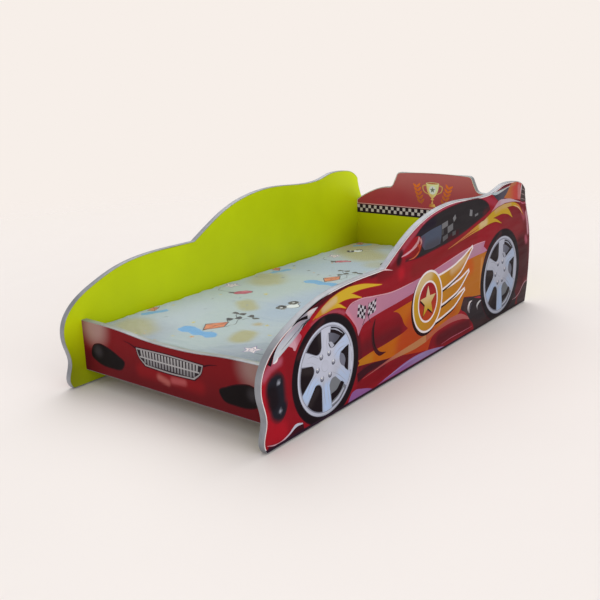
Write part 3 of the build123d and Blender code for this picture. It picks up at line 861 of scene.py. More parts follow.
def side_stripes():
    """The pink stripe, the orange band below it, and the shades and lights along them."""
    pink = airbrush(
        fade(ink(180, 126, 148), ink(174, 118, 146), (350, 260), (700, 240)),
        ("388,192 368,228 344,258", 3, 9, ink(206, 130, 150), 0.8),
        ("940,285 1120,284", 8, 22, ink(170, 130, 150), 0.8),
    )
    orange = airbrush(
        fade(ORANGE, ink(172, 104, 36), (640, 190), (1100, 170)),
        ("650,80 700,120 760,110 800,160", 34, 56, FIRE, 0.85),
        ("870,240 880,190 930,120", 16, 50, FIRE, 0.5),
        ("690,40 750,42 780,60", 14, 30, FIRE, 1.0),
        ("1050,250 1060,228", 8, 30, ink(184, 82, 24), 0.8),
        ("400,104 450,100", 6, 22, AMBER, 0.8),
        ("1145,240 1140,150", 2, 12, ink(196, 138, 80), 0.7),
    )
    stripe = shape(
        "393,182 386,204 366,230 334,262",
        "348,273 380,279 420,279 470,271 540,263 627,264 710,268 800,274 900,285 1000,296 1100,302 "
        "1166,300",
        "1158,290 1154,283",
        "1172,272 1184,264",
        "1100,258 1000,252 850,244 700,233 600,225 500,219 450,214 415,205 393,182",
    )
    band = shape(
        "572,203 640,208 720,214 800,228 900,248 1000,258 1100,262 1182,262",
        "1160,228 1147,190 1142,155 1150,117",
        "1100,124 1040,136 1016,140",
        "990,100 930,84 850,76 800,60 778,28",
        "720,38 650,52 590,66 520,76 450,88 390,97",
        "398,104 392,112",
        "450,117 520,119 590,123 640,128 655,132",
        "634,150 618,176 598,194 572,203",
    )
    low_glow = fade(ink(160, 84, 84), ink(176, 122, 82), (500, 58), (650, 66))
    return [
        (stripe, pink),
        (band, orange),
        (ribbon("338,265 352,275 400,281 470,273 560,263 680,265", 2, 3, 3, 2), PALE_PINK),
        (ribbon("800,273 900,284 1000,295 1100,301 1160,300", 1, 3, 3, 2), PALE_PINK),
        (ribbon("388,64 450,73 530,69 590,62", 26, 20, 8, 1), DARK_MAROON),
        (ribbon("412,53 480,59 560,65 640,66 700,66 766,70", 1, 4, 8, 16, 22, 24), low_glow),
        (ribbon("766,70 850,80 930,84 1000,78 1062,56", 22, 12, 16, 20, 6),
         fade(ink(168, 92, 66), ink(166, 92, 92), (800, 75), (960, 80))),
        (ribbon("1010,96 1040,84 1072,62", 4, 12, 2), ink(140, 44, 58)),
        (ribbon("868,21 930,24 1000,23 1086,22", 1, 2.6, 2.6, 1), ROSE),
        (ribbon("478,208 466,180 466,150 476,122 498,101 534,95", 3, 13, 15, 14, 12, 1),
         ink(70, 30, 36)),
        (ribbon("475,200 468,170 470,140 482,116", 1, 5, 5, 1), BLACK),
    ]


def sill_accents():
    """Violet reflections over the dark line of the sill."""
    return [
        (shape("342,8 362,30 378,33 410,26 446,15 462,8"), PURPLE),
        (shape("486,10 560,19 620,28 690,32 760,29 820,21 886,9"),
         fade(PURPLE, LILAC, (600, 20), (740, 24))),
        (ribbon("520,14 600,22 690,27 760,24", 1, 4, 4, 1), LILAC * 1.2),
        (ribbon("-4,5 400,4 900,4 1100,4", 9, 9, 9, 9), ink(48, 34, 46)),
    ]


def bumper_arc():
    """The shade under the nose and the pale lip over it."""
    return [
        (shape("4,3 10,14 50,9 90,16 120,28 146,22", "150,2 4,3"),
         fade(ink(84, 26, 44), DARK_MAROON, (10, 10), (140, 16))),
        (ribbon("6,19 28,12 52,9 90,17 118,29 144,25", 1, 3, 4, 5, 9, 3),
         fade(PALE_PINK, ink(190, 196, 214), (50, 10), (120, 28))),
    ]


def rear_underbody():
    """The dark sill behind the door, with two bright exhaust pipes."""
    dark = airbrush(
        ink(48, 42, 46),
        ("1020,122 1040,100", 6, 26, ink(70, 48, 50), 0.8),
        ("1090,30 1120,12 1300,10", 6, 24, ink(60, 42, 44), 0.8),
    )
    return [
        (shape("1016,139 1060,130 1110,122 1150,116 1190,100 1300,60", "1440,58 1452,30 1440,2",
               "1100,2 1092,24 1066,50 1030,84 998,104 1016,139"), dark),
        (ribbon("1096,119 1130,113 1164,104", 1, 8, 2), ink(150, 46, 60)),
        (ribbon("1078,113 1062,110 1053,96 1062,74", 2, 10, 15, 4),
         fade(ink(206, 200, 204), ink(120, 112, 118), (1064, 108), (1058, 76))),
        (ribbon("1080,104 1070,98 1070,84", 2, 5, 1), STEEL * 0.5),
        (ribbon("1150,98 1130,94 1119,86 1124,70", 2, 8, 11, 3),
         fade(ink(190, 190, 194), ink(90, 86, 92), (1126, 92), (1122, 72))),
    ]


def side_window():
    """The dark side window with its lit pane and grey reflections."""
    outline = shape("640,336 668,372 700,401 735,420 780,434 850,446 940,453 1050,453 1115,447 "
                    "1155,434 1180,419 1192,403",
                    "1160,392 1110,381 1050,368 980,355 900,345 800,338 720,333 640,336")
    dark = airbrush(
        ink(46, 42, 45),
        ("720,410 800,424", 5, 24, ink(40, 34, 46), 0.9),
        ("960,362 900,352", 3, 14, ink(66, 30, 36), 0.9),
        ("1185,404 1150,396", 3, 16, ink(84, 40, 44), 0.7),
    )
    pane = airbrush(
        PANE,
        ("760,352 830,356", 4, 20, ink(72, 70, 80), 0.8),
        ("738,380 730,360", 4, 12, ink(96, 66, 88), 0.7),
    )
    layers = [
        (grown(outline, 3), ink(96, 30, 40)),
        (outline, dark),
        (shape("724,392 780,401 850,407", "852,380 844,349", "790,345 748,347", "730,366 724,392"),
         pane),
    ]
    slanted = points("-1,-1 1,-0.8 1.05,1 -0.95,0.9")
    for centre, wide, high, turn, shade in (
        ((872, 402), 19, 9, 6, 1.0),
        ((908, 386), 18, 11, 8, 0.9),
        ((876, 362), 16, 8, 8, 0.6),
        ((935, 413), 9, 8, 30, 1.1),
        ((934, 366), 11, 7, 0, 0.5),
        ((1050, 412), 10, 10, 80, 1.2),
        ((1090, 400), 12, 4, 4, 1.0),
        ((858, 382), 7, 9, 0, 0.4),
    ):
        layers.append((moved(slanted * (wide, high), centre, 1.0, turn), GREY * shade))
    return layers


def mirror():
    """The door mirror and the sliver of light on the bonnet before it."""
    shell = airbrush(
        fade(ink(150, 30, 42), ink(128, 36, 34), (670, 380), (700, 345)),
        ("640,338 668,335", 2, 10, DARK_MAROON, 0.7),
    )
    return [
        (shape("612,352 650,374 690,395 712,396 728,386 733,372",
               "724,352 708,340 688,334 660,334 636,340 612,352"), shell),
        (ribbon("616,353 650,357 684,366 708,379 716,392", 3, 6, 7, 12, 10),
         fade(PALE_PINK, ink(186, 138, 142), (630, 354), (712, 388))),
        (ribbon("722,386 728,374 722,366", 8, 8, 2), ink(182, 132, 132)),
        (ribbon("656,336 690,338 712,348 725,364", 1, 3, 4, 2), ink(196, 106, 70)),
        (ribbon("704,372 718,362 716,350", 3, 12, 3), ink(164, 62, 44)),
        (ribbon("498,338 530,334 566,325", 2, 4, 1), ink(222, 186, 192)),
    ]


def rear_quarter():
    """The rear deck: small window, spoiler with its louvres, and the pale lines round them."""
    spoiler = airbrush(
        fade(ink(176, 108, 60), ink(182, 72, 66), (1330, 440), (1400, 446)),
        ("1430,450 1434,415", 4, 14, ink(184, 128, 132), 0.7),
        ("1350,462 1400,466", 2, 8, ink(170, 116, 84), 0.8),
    )
    deck = airbrush(
        fade(ink(186, 106, 116), ink(184, 160, 172), (1200, 384), (1290, 414)),
        ("1264,410", 4, 20, ink(178, 134, 146), 0.7),
    )
    louvres = [(ribbon([(1450, 404 + rise), (1470, 400 + rise), (1490, 394 + rise * 0.9)], 1, 3, 1),
                ink(150, 132, 132)) for rise in (0, 17, 34)]
    return [
        (shape("1198,456 1228,438 1258,421", "1300,423 1322,430", "1356,462",
               "1290,461 1235,455 1198,456"),
         fade(ink(62, 62, 72), ink(84, 80, 92), (1220, 440), (1300, 430))),
        (ribbon("1194,454 1232,450 1280,453 1330,459 1358,462", 2, 11, 8, 4, 3),
         fade(ink(170, 184, 192), ink(190, 182, 176), (1220, 450), (1340, 460))),
        (ribbon("1268,462 1310,467 1356,469", 1, 5, 3), ink(56, 50, 54)),
        (shape("1304,427 1330,443 1348,460 1362,470", "1400,470 1440,461 1456,456",
               "1446,430 1444,402", "1400,408 1350,416 1304,427"), spoiler),
        (shape("1452,458 1474,450 1486,434", "1491,410 1497,390", "1470,390 1446,398",
               "1450,430 1452,458"), ink(74, 64, 64)),
        *louvres,
        (ribbon("1455,457 1449,436 1446,418 1444,400", 5, 9, 6, 4),
         fade(ink(196, 184, 190), ink(200, 120, 118), (1452, 450), (1444, 404))),
        (ribbon("1186,381 1226,396 1264,410 1310,414 1360,409 1404,402 1446,392",
                1, 14, 24, 14, 13, 5, 2), deck),
        (ribbon("1444,394 1470,384 1496,380 1506,372", 2, 5, 4, 1), ROSE),
    ]


def rear_flame():
    """Flame licks over the rear wheel, below the window."""
    warm = airbrush(
        fade(ink(184, 110, 70), YELLOW, (1000, 338), (1150, 362)),
        ("1130,364 1160,364", 4, 24, CREAM, 0.7),
        ("1240,392 1290,400 1360,394", 3, 14, ink(188, 156, 104), 0.8),
        ("1430,380 1470,352", 4, 24, ink(198, 112, 62), 0.9),
    )
    edge = ink(120, 44, 26)
    licks = (
        ("896,322 1000,338 1100,354 1180,362 1240,358 1292,340", 1, 6, 14, 24, 15, 1),
        ("1150,370 1220,380 1290,386 1340,374 1384,346", 4, 22, 30, 22, 1),
        ("1240,394 1320,396 1390,392 1440,374 1484,338", 6, 16, 13, 12, 1),
    )
    return flames(licks, warm, edge) + [
        (ribbon("960,330 1040,343 1110,352", 1, 2.4, 1), edge),
        (ribbon("1390,388 1430,376 1470,350", 1, 3, 1), CREAM),
    ]


def tail_curve():
    """The dark rear bumper and its pale edge."""
    return [
        (shape("1470,2 1462,24 1490,46 1512,66 1536,78 1562,76", "1560,2 1470,2"),
         ink(64, 50, 52)),
        (ribbon("1418,34 1450,36 1480,46 1506,66 1532,79 1558,77", 1, 4, 5, 6, 4),
         ink(150, 112, 120)),
    ]


def crossed_flags():
    """Two small chequered flags on crossed poles."""
    light, dark = ink(190, 184, 194), ink(46, 36, 46)
    return [
        (ribbon("452,204 438,232 428,258", 2.4, 2.4), dark),
        (ribbon("414,206 434,234 446,262", 2.4, 2.4), dark),
        *chequers((388, 234), (38, -12), (6, 34), light, dark),
        *chequers((440, 222), (40, 10), (4, 34), light, dark),
    ]


def side_layers(outline):
    """The racing car on a side board, from the bottom layer to the top one."""
    return [
        (outline, WHITE),
        (inset(outline, MARGIN), body_paint()),
        *bumper_arc(),
        *fog_lamp(),
        *headlight(),
        *fender_flame(),
        *side_stripes(),
        *crossed_flags(),
        *emblem(),
        *rear_underbody(),
        *wheel((249, 133), 1.0, 142, 1.16),
        *wheel((1303, 153), 1.135, 142, 0.84),
        *side_window(),
        *mirror(),
        *rear_quarter(),
        *rear_flame(),
        *tail_curve(),
        *sill_accents(),
        (ribbon("1100,4 1300,4 1536,4", 9, 9), ink(44, 36, 38)),
    ]


# --- artwork of the end boards ----------------------------------------------------------
def box_outline(low, high):
    """An upright rectangle between two corners."""
    return np.array([low, (high[0], low[1]), high, (low[0], high[1])], float)


def trophy():
    """A cup with two handles and a star, between two sprigs of laurel."""
    shine = fade(GOLD, ink(222, 196, 150), (-30, 380), (16, 430))
    leaf = blob("0,0 7,4.6 14,3.6 21,0 14,-3.6 7,-4.6")
    leaf_paint = fade(ink(190, 98, 48), BRONZE, (0, 430), (0, 350))
    layers = []
    for side in (-1, 1):
        handle = points("26,424 42,418 38,400 18,388") * (side, 1) - (2, 0)
        stem = points("46,348 68,380 74,422") * (side, 1) - (2, 0)
        layers += [(ribbon(handle, 5, 5, 4, 3), GOLD * 0.8), (ribbon(stem, 2.5, 2.5, 1.5), BRONZE)]
        for place in range(5):
            foot = (side * (50 + 5.6 * place - 0.2 * place * place) - 2, 352 + place * 15)
            for turn in (42, 132):
                layers.append((moved(leaf, foot, 1.1, turn - side * 8), leaf_paint))
    return layers + [
        (shape("-29,430 -27,408 -16,384 -5,372", "1,372", "12,384 23,408 25,430"), shine),
        (ellipse((-2, 430), 29, 4.5), ink(220, 190, 140)),
        (ellipse((-2, 430), 25, 2.6), BRONZE),
        (shape("-6,374 -3,362 -7,352", "3,352", "-1,362 2,374"), shine),
        (ellipse((-2, 368), 7, 3), GOLD),
        (points("-17,338 13,338 9,350 -13,350"), fade(BRONZE, GOLD, (-17, 340), (10, 346))),
        (ellipse((-2, 405), 15, 17), ink(196, 202, 186)),
        (star((-2, 405), 12, 5), ink(96, 100, 92)),
    ]


def head_layers(outline):
    """The headboard: a red panel with the trophy over a chequered band."""
    (left, foot), (right, _) = outline.min(0), outline.max(0)
    band_low, band_high, columns = 295.5, 327.0, 52
    square = (right - left) / columns
    red = airbrush(
        fade(ink(140, 60, 67), ink(152, 86, 88), (0, 340), (0, 480)),
        ("-250,350 -160,345", 10, 80, ink(142, 54, 62), 0.6),
    )
    layers = [
        (outline, WHITE),
        (inset(outline, MARGIN * 0.6), red),
        (box_outline((left, foot), (right, band_high)), ink(44, 36, 42)),
        (ribbon([(left, 329.6), (0, 329.6), (right, 329.6)], 2.4, 2.4), ink(186, 150, 158)),
    ]
    for column in range(columns):
        start = left + column * square + 0.6
        up = band_low + 2.4 + (1 - column % 2) * 13.6
        white = box_outline((start, up), (start + square - 1.2, up + 12.8))
        layers.append((white, ink(168, 158, 164)))
    return layers + trophy()


def foot_layers(outline):
    """The footboard, the car's front: two dark lamps, an air intake and soft lights."""
    ground = airbrush(
        fade(ink(118, 34, 38), ink(98, 34, 38), (0, 170), (0, 50)),
        ("-300,182", 16, 66, ink(162, 132, 128), 0.9),
        ("300,182", 16, 66, ink(148, 120, 118), 0.9),
        ("-110,92 0,96 110,92", 4, 30, ink(140, 36, 40), 0.6),
        ("-40,86 -8,78", 3, 12, ink(170, 96, 92), 0.8),
        ("12,88 54,92", 3, 12, ink(170, 86, 88), 0.8),
        ("-340,60 -330,90", 4, 30, MAROON, 0.6),
    )
    layers = [(outline, ground)]
    lamp_points = points("318,93 308,124 286,133 250,129 206,113 180,98 190,80 236,72 296,80")
    for side in (-1, 1):
        lamp = blob(lamp_points * (side, 1))
        glint = ([(side * 290, 112)], 4, 24, ink(62, 58, 62), 0.8)
        layers += [
            (grown(lamp, 3), ink(62, 32, 36)),
            (lamp, airbrush(ink(34, 31, 32), glint)),
            (ribbon(points("128,152 150,160 176,164") * (side, 1), 5, 3, 1), DARK_MAROON),
        ]
    return layers + grille()


def grille():
    """An air intake with rounded corners, upright ribs and a bright rim."""

    def mouth(extra):
        top, low, half, foot = 150 + extra, 112 - extra, 122 + extra, 88 + extra
        middle = (top + low) / 2
        return shape(
            [(-half, top), (0, top + 3), (half, top)],
            [(half - 8, middle), (foot, low)],
            [(0, low - 3), (-foot, low)],
            [(8 - half, middle), (-half, top)],
        )

    layers = [(mouth(7), DARK_MAROON), (mouth(4), ink(150, 146, 148)), (mouth(0), ink(52, 46, 50))]
    top = 151
    for rib in range(-9, 10):
        x, lean = rib * 11.4, rib * 0.3
        foot = top - 38 + max(abs(x) - 88, 0) * 1.1
        layers.append((np.array([(x - 3.4, foot), (x + 3.4, foot), (x + 3.4 + lean, top),
                                 (x - 3.4 + lean, top)]),
                       fade(ink(122, 120, 124), ink(160, 158, 160), (0, 112), (0, 150))))
    return layers + [(ribbon("-112,131 0,130 112,131", 4, 4), ink(164, 162, 164))]


# --- outlines of the boards, read from the CAD nodes --------------------------------------
SAME_POINT = 2e-5             # metres, corners closer than this are one
SHARP_TURN = 25.0             # degrees, where an outline has a corner and not a curve
ROUND_OFF = 0.0009            # metres, scraped arrises of the side boards' edge bands


def face_outline(node, axis, side, wanted):
    """The outer outline of a node's flat face at its limit along an axis, in metres, as
    counterclockwise (wanted[0], wanted[1]) points."""
    mesh = nodes[node].data
    mesh.calc_loop_triangles()
    place = np.array([v.co for v in mesh.vertices])
    keys = {}
    merged = [keys.setdefault(tuple(np.round(p / SAME_POINT).astype(int)), i)
              for i, p in enumerate(place)]
    level = place[:, axis].max() if side > 0 else place[:, axis].min()
    on = np.abs(place[:, axis] - level) < SAME_POINT
    level_faces = [[merged[v] for v in triangle.vertices] for triangle in mesh.loop_triangles
                   if on[list(triangle.vertices)].all()]
    loops = [place[loop][:, list(wanted)] for loop in rims(level_faces)]
    loops = [loop if turning(loop) > 0 else loop[::-1] for loop in loops]
    return max(loops, key=lambda loop: np.ptp(loop, axis=0).sum())


def refined(loop, step):
    """A closed outline with more points on its curves; its corners stay sharp."""
    into = loop - np.roll(loop, 1, 0)
    out = np.roll(loop, -1, 0) - loop
    turn = np.abs(np.degrees(np.arctan2(into[:, 0] * out[:, 1] - into[:, 1] * out[:, 0],
                                        (into * out).sum(1))))
    sharp = np.flatnonzero(turn > SHARP_TURN)
    loop = np.roll(loop, -sharp[0], 0)
    sharp = np.r_[sharp - sharp[0], len(loop)]
    loop = np.vstack([loop, loop[:1]])
    return np.vstack([spline(loop[a:b + 1], step=step)[:-1] for a, b in zip(sharp, sharp[1:])])


def to_artwork(loop, first):
    """Metres in the row frame to the artwork's millimetres, along from first."""
    return (loop - np.array([first, SILL])) / MM


def closed_band(name, rings, material, angle):
    """A tube of rings with equally many points, the last ring joined to the first."""
    count, size = len(rings), len(rings[0])
    faces = [(r * size + i, (r + 1) % count * size + i, (r + 1) % count * size + (i + 1) % size,
              r * size + (i + 1) % size) for r in range(count) for i in range(size)]
    piece = add_piece(name, np.vstack(rings), faces, material)
    tidy_normals(piece, angle)
    return piece


def edge_band(name, node, loop, low, high):
    """The plastic band round a side board, with scraped, rounded arrises."""
    quarter = ROUND_OFF * (1 - np.sin(np.radians(np.linspace(0, 90, 5))))
    upper = list(zip(quarter, high - quarter[::-1]))
    lower = list(zip(quarter[::-1], low + quarter))
    section = [(EDGING, high)] + upper + lower + [(EDGING, low)]
    rings = [np.c_[np.full(len(loop), x), inset(loop, inward)] for inward, x in section]
    handed_over(closed_band(name, rings, materials["edging"], 35), "bed_frame", "silver_edging",
                node)


def softened_band(name, node):
    """An end board's edge band: the CAD node's shape with its arrises slightly rounded."""

    def change(work):
        bmesh.ops.remove_doubles(work, verts=work.verts[:], dist=1e-6)
        bmesh.ops.dissolve_limit(work, angle_limit=math.radians(0.2), verts=work.verts[:],
                                 edges=work.edges[:])
        bmesh.ops.bevel(work, geom=sharp_edges(work, 40), offset=ARRIS, segments=2,
                        affect="EDGES", profile=0.5, clamp_overlap=True)
        for face in work.faces:
            face.smooth = True

    piece = bpy.data.objects.new(name, nodes[node].data.copy())
    bpy.context.scene.collection.objects.link(piece)
    reworked(piece, change)
    wear(piece, materials["edging"])
    tidy_normals(piece, 50)
    handed_over(piece, "bed_frame", "silver_edging", node)


def printed_boards():
    """The four boards' films and edge bands, on outlines taken from the CAD nodes."""
    for side in ("right", "left"):
        node = "side_edging_" + side
        low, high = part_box(node)
        sign = 1 if side == "right" else -1
        loop = refined(face_outline(node, 0, sign, (1, 2)), 0.006)
        edge_band("edge_band_" + side, node, loop, low.x, high.x)
        outline = to_artwork(inset(loop, EDGING), NOSE)
        show = high.x if sign > 0 else low.x
        printed_film("printed_side_" + side, "side_print_" + side, outline, side_layers(outline),
                     lambda along, up: (show, NOSE + along * MM, SILL + up * MM),
                     (-sign, 0, 0), 1.1)
    for board, layers, strength in (("headboard", head_layers, 1.9),
                                    ("footboard", foot_layers, 1.24)):
        node = board + "_print"
        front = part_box(node)[0].y
        outline = refined(to_artwork(face_outline(node, 1, -1, (0, 2)), 0.0), 6.0)
        printed_film("printed_" + board, node, outline, layers(outline),
                     lambda x, up: (x * MM, front, SILL + up * MM), (0, 1, 0), strength)
        softened_band("edge_band_" + board, board + "_edging")


# --- mattress and fitted sheet ------------------------------------------------------------
sheet_low, sheet_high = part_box("fitted_sheet")
MIDDLE = np.array([(sheet_low.x + sheet_high.x) / 2, (sheet_low.y + sheet_high.y) / 2]) / MM
HALF = np.array([sheet_high.x - sheet_low.x, sheet_high.y - sheet_low.y]) / 2 / MM
TOP, UNDER = sheet_high.z / MM, sheet_low.z / MM
EDGE = 15.0                   # mm, rounding of the mattress's upper and lower edges
CORNER = 42.0                 # mm, rounding of its corners seen from above
TURN_UNDER = 80.0             # mm of cloth under the mattress
QUARTER = EDGE * math.pi / 2
WALL = TOP - UNDER - 2 * EDGE
REACH = 2 * QUARTER + WALL + TURN_UNDER
CROWN = 5.0                   # mm the top rises in the middle
EDGE_DROP = 3.0               # mm the edge of the top lies lower than the CAD box
BULGE = 2.0                   # mm the walls bulge at half height
WALL_IN = 2.5                 # mm the walls' ends lie inside the CAD box
SLACK = 0.4                   # mm between the CAD box's underside and the cloth turned under
BODY_IN = 1.2                 # mm the mattress lies inside its sheet
BODY_GRID = 15.0              # mm between the mattress's points
QUILT_WAVE = 38.0             # mm, a quilted cushion is pi times as wide
QUILT_DEPTH = 3.0             # mm
CLOTH_GRID = 10.0             # mm between the sheet's points
SETTLING_GRID = 12.0          # mm between the points of the simulated cloth
SETTLING_FRAMES = 28
LARGEST_MOVE = 0.007          # metres a point may settle
LOOSENESS = 0.018             # how much the simulated cloth grows before it settles
CLOTH_THICKNESS = 0.0007      # metres


def wrapped(at, inward=0.0):
    """Puts points of the flat cloth, in mm from the mattress's middle, round the mattress, and
    gives how far past the flat top each one lies."""
    core = HALF - CORNER
    held = np.clip(at, -core, core)
    away = at - held
    reach = np.linalg.norm(away, axis=1)
    way = away / np.maximum(reach, 1e-6)[:, None]
    top_reach = CORNER - EDGE
    beyond = np.maximum(reach - top_reach, 0)
    first = np.minimum(beyond, QUARTER) / EDGE
    wall = np.clip(beyond - QUARTER, 0, WALL)
    second = np.clip(beyond - QUARTER - WALL, 0, QUARTER) / EDGE
    under = np.maximum(beyond - 2 * QUARTER - WALL, 0)
    radius = EDGE - inward
    out = np.minimum(reach, top_reach) + radius * np.sin(first)
    out -= radius * (1 - np.cos(second)) + under
    bulge = BULGE * np.sin(np.pi * np.clip(wall / WALL, 0, 1))
    plan = held + way * (out - WALL_IN + bulge * (wall > 0))[:, None] + MIDDLE
    lowest = UNDER + SLACK + inward
    height = TOP - EDGE_DROP - inward - radius * (1 - np.cos(first))
    height -= wall * (1 - inward / WALL) + radius * np.sin(second)
    height = np.where(under > 0, lowest, np.maximum(height, lowest))
    share = np.clip(1 - (np.abs(at) / HALF) ** 4, 0, 1)
    height = height + CROWN * share[:, 0] * share[:, 1] * (beyond <= 0)
    return np.c_[plan, height] * MM, beyond


def grid_points(spacing, margin):
    """A regular grid over the flat cloth as far as margin past the top."""
    half = HALF - EDGE + margin
    lines = [np.linspace(-h, h, int(2 * h / spacing) + 1) for h in half]
    x, y = np.meshgrid(*lines)
    wide, long = map(len, lines)
    firsts = [j * wide + i for j in range(long - 1) for i in range(wide - 1)]
    faces = [(k, k + 1, k + wide + 1, k + wide) for k in firsts]
    return np.stack([x.ravel(), y.ravel()], 1), faces, lines


def ripple(at, seed, count, wave, height):
    """Low seeded waves in many directions, in mm."""
    chance = np.random.default_rng(seed)
    total = np.zeros(len(at))
    for _ in range(count):
        angle, phase = chance.uniform(0, 2 * math.pi, 2)
        length = wave * chance.uniform(0.6, 1.7)
        way = np.array([math.cos(angle), math.sin(angle)])
        total += np.sin(at @ way * 2 * math.pi / length + phase)
    return total * height / math.sqrt(count)


def cleaned(work):
    """Drops loose points and joins those closer than 0.2 mm."""
    bmesh.ops.delete(work, geom=[v for v in work.verts if not v.link_faces], context="VERTS")
    bmesh.ops.remove_doubles(work, verts=work.verts[:], dist=2e-4)


def mattress_body():
    """The foam mattress in its cover: a closed shell, quilted below."""
    at, faces, _ = grid_points(BODY_GRID, REACH - TURN_UNDER)
    upper = wrapped(at, BODY_IN)[0]
    below = at * (HALF - 4) / np.abs(at).max(0)
    held = np.clip(below, -(HALF - CORNER), HALF - CORNER)
    away = below - held
    reach = np.linalg.norm(away, axis=1)
    fit = np.minimum(1, (CORNER - EDGE - 2) / np.maximum(reach, 1e-6))[:, None]
    plan = held + away * fit
    quilt = np.abs(np.sin(plan / QUILT_WAVE).prod(1)) ** 0.5
    lower = np.c_[plan + MIDDLE, UNDER + 4.5 - QUILT_DEPTH * quilt] * MM
    rim = (np.abs(at) > np.abs(at).max(0) - 1).any(1)
    below_of = np.arange(len(at)) + np.where(rim, 0, len(at))
    bottom = [tuple(below_of[list(reversed(face))]) for face in faces]
    piece = add_piece("mattress_body", np.vstack([upper, lower]), faces + bottom,
                      materials["cover"])
    reworked(piece, cleaned)
    tidy_normals(piece, 80)
    handed_over(piece, "mattress", "mattress_fabric", "mattress_core", "mattress_cover")


def settled_creases():
    """How far the sheet's points move when the loose cloth settles on the mattress: a cloth
    simulation on a plain grid, as the grid's lines and its moves in metres."""
    at, faces, lines = grid_points(SETTLING_GRID, 60)
    start, beyond = wrapped(at)
    start[:, 2] += ((beyond <= 0) * 2.5 + ripple(at, 5, 14, 210, 0.9)) * MM
    cloth = add_piece("settling_cloth", start, faces, materials["sheet"])
    body = add_piece("settling_form", wrapped(at, 1.0)[0], faces, materials["cover"])
    pins = cloth.vertex_groups.new(name="tucked")
    for i in np.flatnonzero(beyond > 14):
        pins.add([int(i)], 1.0, "REPLACE")
    body.modifiers.new("solid", "COLLISION")
    body.collision.thickness_outer = MM
    modifier = cloth.modifiers.new("cloth", "CLOTH")
    cotton = {"quality": 6, "mass": 0.15, "tension_stiffness": 40, "compression_stiffness": 40,
              "bending_stiffness": 0.4, "shrink_min": -LOOSENESS, "vertex_group_mass": "tucked"}
    for name, value in cotton.items():
        setattr(modifier.settings, name, value)
    modifier.collision_settings.distance_min = MM
    modifier.collision_settings.use_self_collision = False
    modifier.point_cache.frame_start = 1
    modifier.point_cache.frame_end = SETTLING_FRAMES
    scene = bpy.context.scene
    for number in range(1, SETTLING_FRAMES + 1):
        scene.frame_set(number)
    shown = cloth.evaluated_get(bpy.context.evaluated_depsgraph_get()).data
    settled = np.array([v.co for v in shown.vertices])
    scene.frame_set(1)
    for piece in (cloth, body):
        bpy.data.objects.remove(piece)
    moves = np.clip(settled - wrapped(at)[0], -LARGEST_MOVE, LARGEST_MOVE)
    return lines, moves.reshape(len(lines[1]), len(lines[0]), 3)


def sampled(lines, moves, at):
    """The grid's moves at other points, by linear steps between its lines."""
    across, along = (np.interp(at[:, k], lines[k], np.arange(len(lines[k]))) for k in (0, 1))
    i, j = (np.minimum(way.astype(int), len(line) - 2)
            for way, line in zip((across, along), lines))
    u, v = (across - i)[:, None], (along - j)[:, None]
    return ((moves[j, i] * (1 - u) + moves[j, i + 1] * u) * (1 - v)
            + (moves[j + 1, i] * (1 - u) + moves[j + 1, i + 1] * u) * v)


def kite_and_cloud():
    """A kite with bows on its tail over a cloud, about 130 by 220 mm."""
    line = ink(34, 34, 42)
    cloud = blob("-62,-62 -66,-84 -46,-98 -20,-92 6,-100 34,-92 56,-98 70,-80 58,-62 34,-58 14,-66 "
                 "-10,-58 -38,-54")
    kite = points("4,-56 34,-8 14,34 -24,-16")
    layers = [
        (grown(cloud, 2.5), ink(142, 176, 204)),
        (cloud, ink(90, 160, 214)),
        (grown(kite, 3.0), line),
        (kite, fade(ink(212, 118, 62), ink(188, 84, 40), (0, 0), (20, 40))),
        (ribbon("4,-56 10,-8 14,34", 2, 2), line),
        (ribbon("-24,-16 8,-12 34,-8", 2, 2), line),
        (ribbon("14,34 -4,52 16,70 -6,92 -12,112", 3, 2.4, 2), line),
        (ribbon("34,-8 44,30 30,60 46,92", 2.2, 1.8), line),
    ]
    for place, tilt in (((-12, 112), 10), ((48, 104), -20), ((10, 66), 60)):
        for side in (-1, 1):
            bow = blob(points("0,0 8,9 20,11 20,-9 8,-8") * (side, 1))
            layers.append((moved(bow, place, 1.0, tilt), line))
    return layers


def balloon():
    """A crimson balloon on a string with a scribbled star."""
    line = ink(52, 50, 62)
    skin = ellipse((0, 0), 17, 29, 12)
    layers = [
        (ribbon("-4,-30 -26,-52 -34,-70 -60,-80 -84,-74", 2.4, 1.6), line),
        (grown(skin, 2), line),
        (skin, airbrush(ink(176, 40, 84), ("-6,14", 3, 12, ink(226, 130, 158), 0.8))),
        (blob("-12,-28 4,-30 8,-42 -6,-46 -14,-38"), line),
    ]
    mauve = ink(132, 118, 168)
    for reach, colour in ((34, mauve), (27, WHITE), (16, ink(150, 132, 176)), (10, WHITE)):
        layers.append((star((-100, -40), reach, reach * 0.5, 75), colour))
    return layers


def toy_car():
    """A small outline of a car on two black wheels."""
    body = shape("-46,-2 -44,14 -26,18", "-14,34 12,34 24,18", "44,14 48,-2")
    layers = [(body, ink(92, 96, 108)), (grown(body, -3), ink(220, 228, 232))]
    for x in (-30, 31):
        layers += [(ellipse((x, -4), 18, 17), ink(28, 28, 34)),
                   (ellipse((x, -4), 5, 5), ink(200, 204, 208))]
    return layers


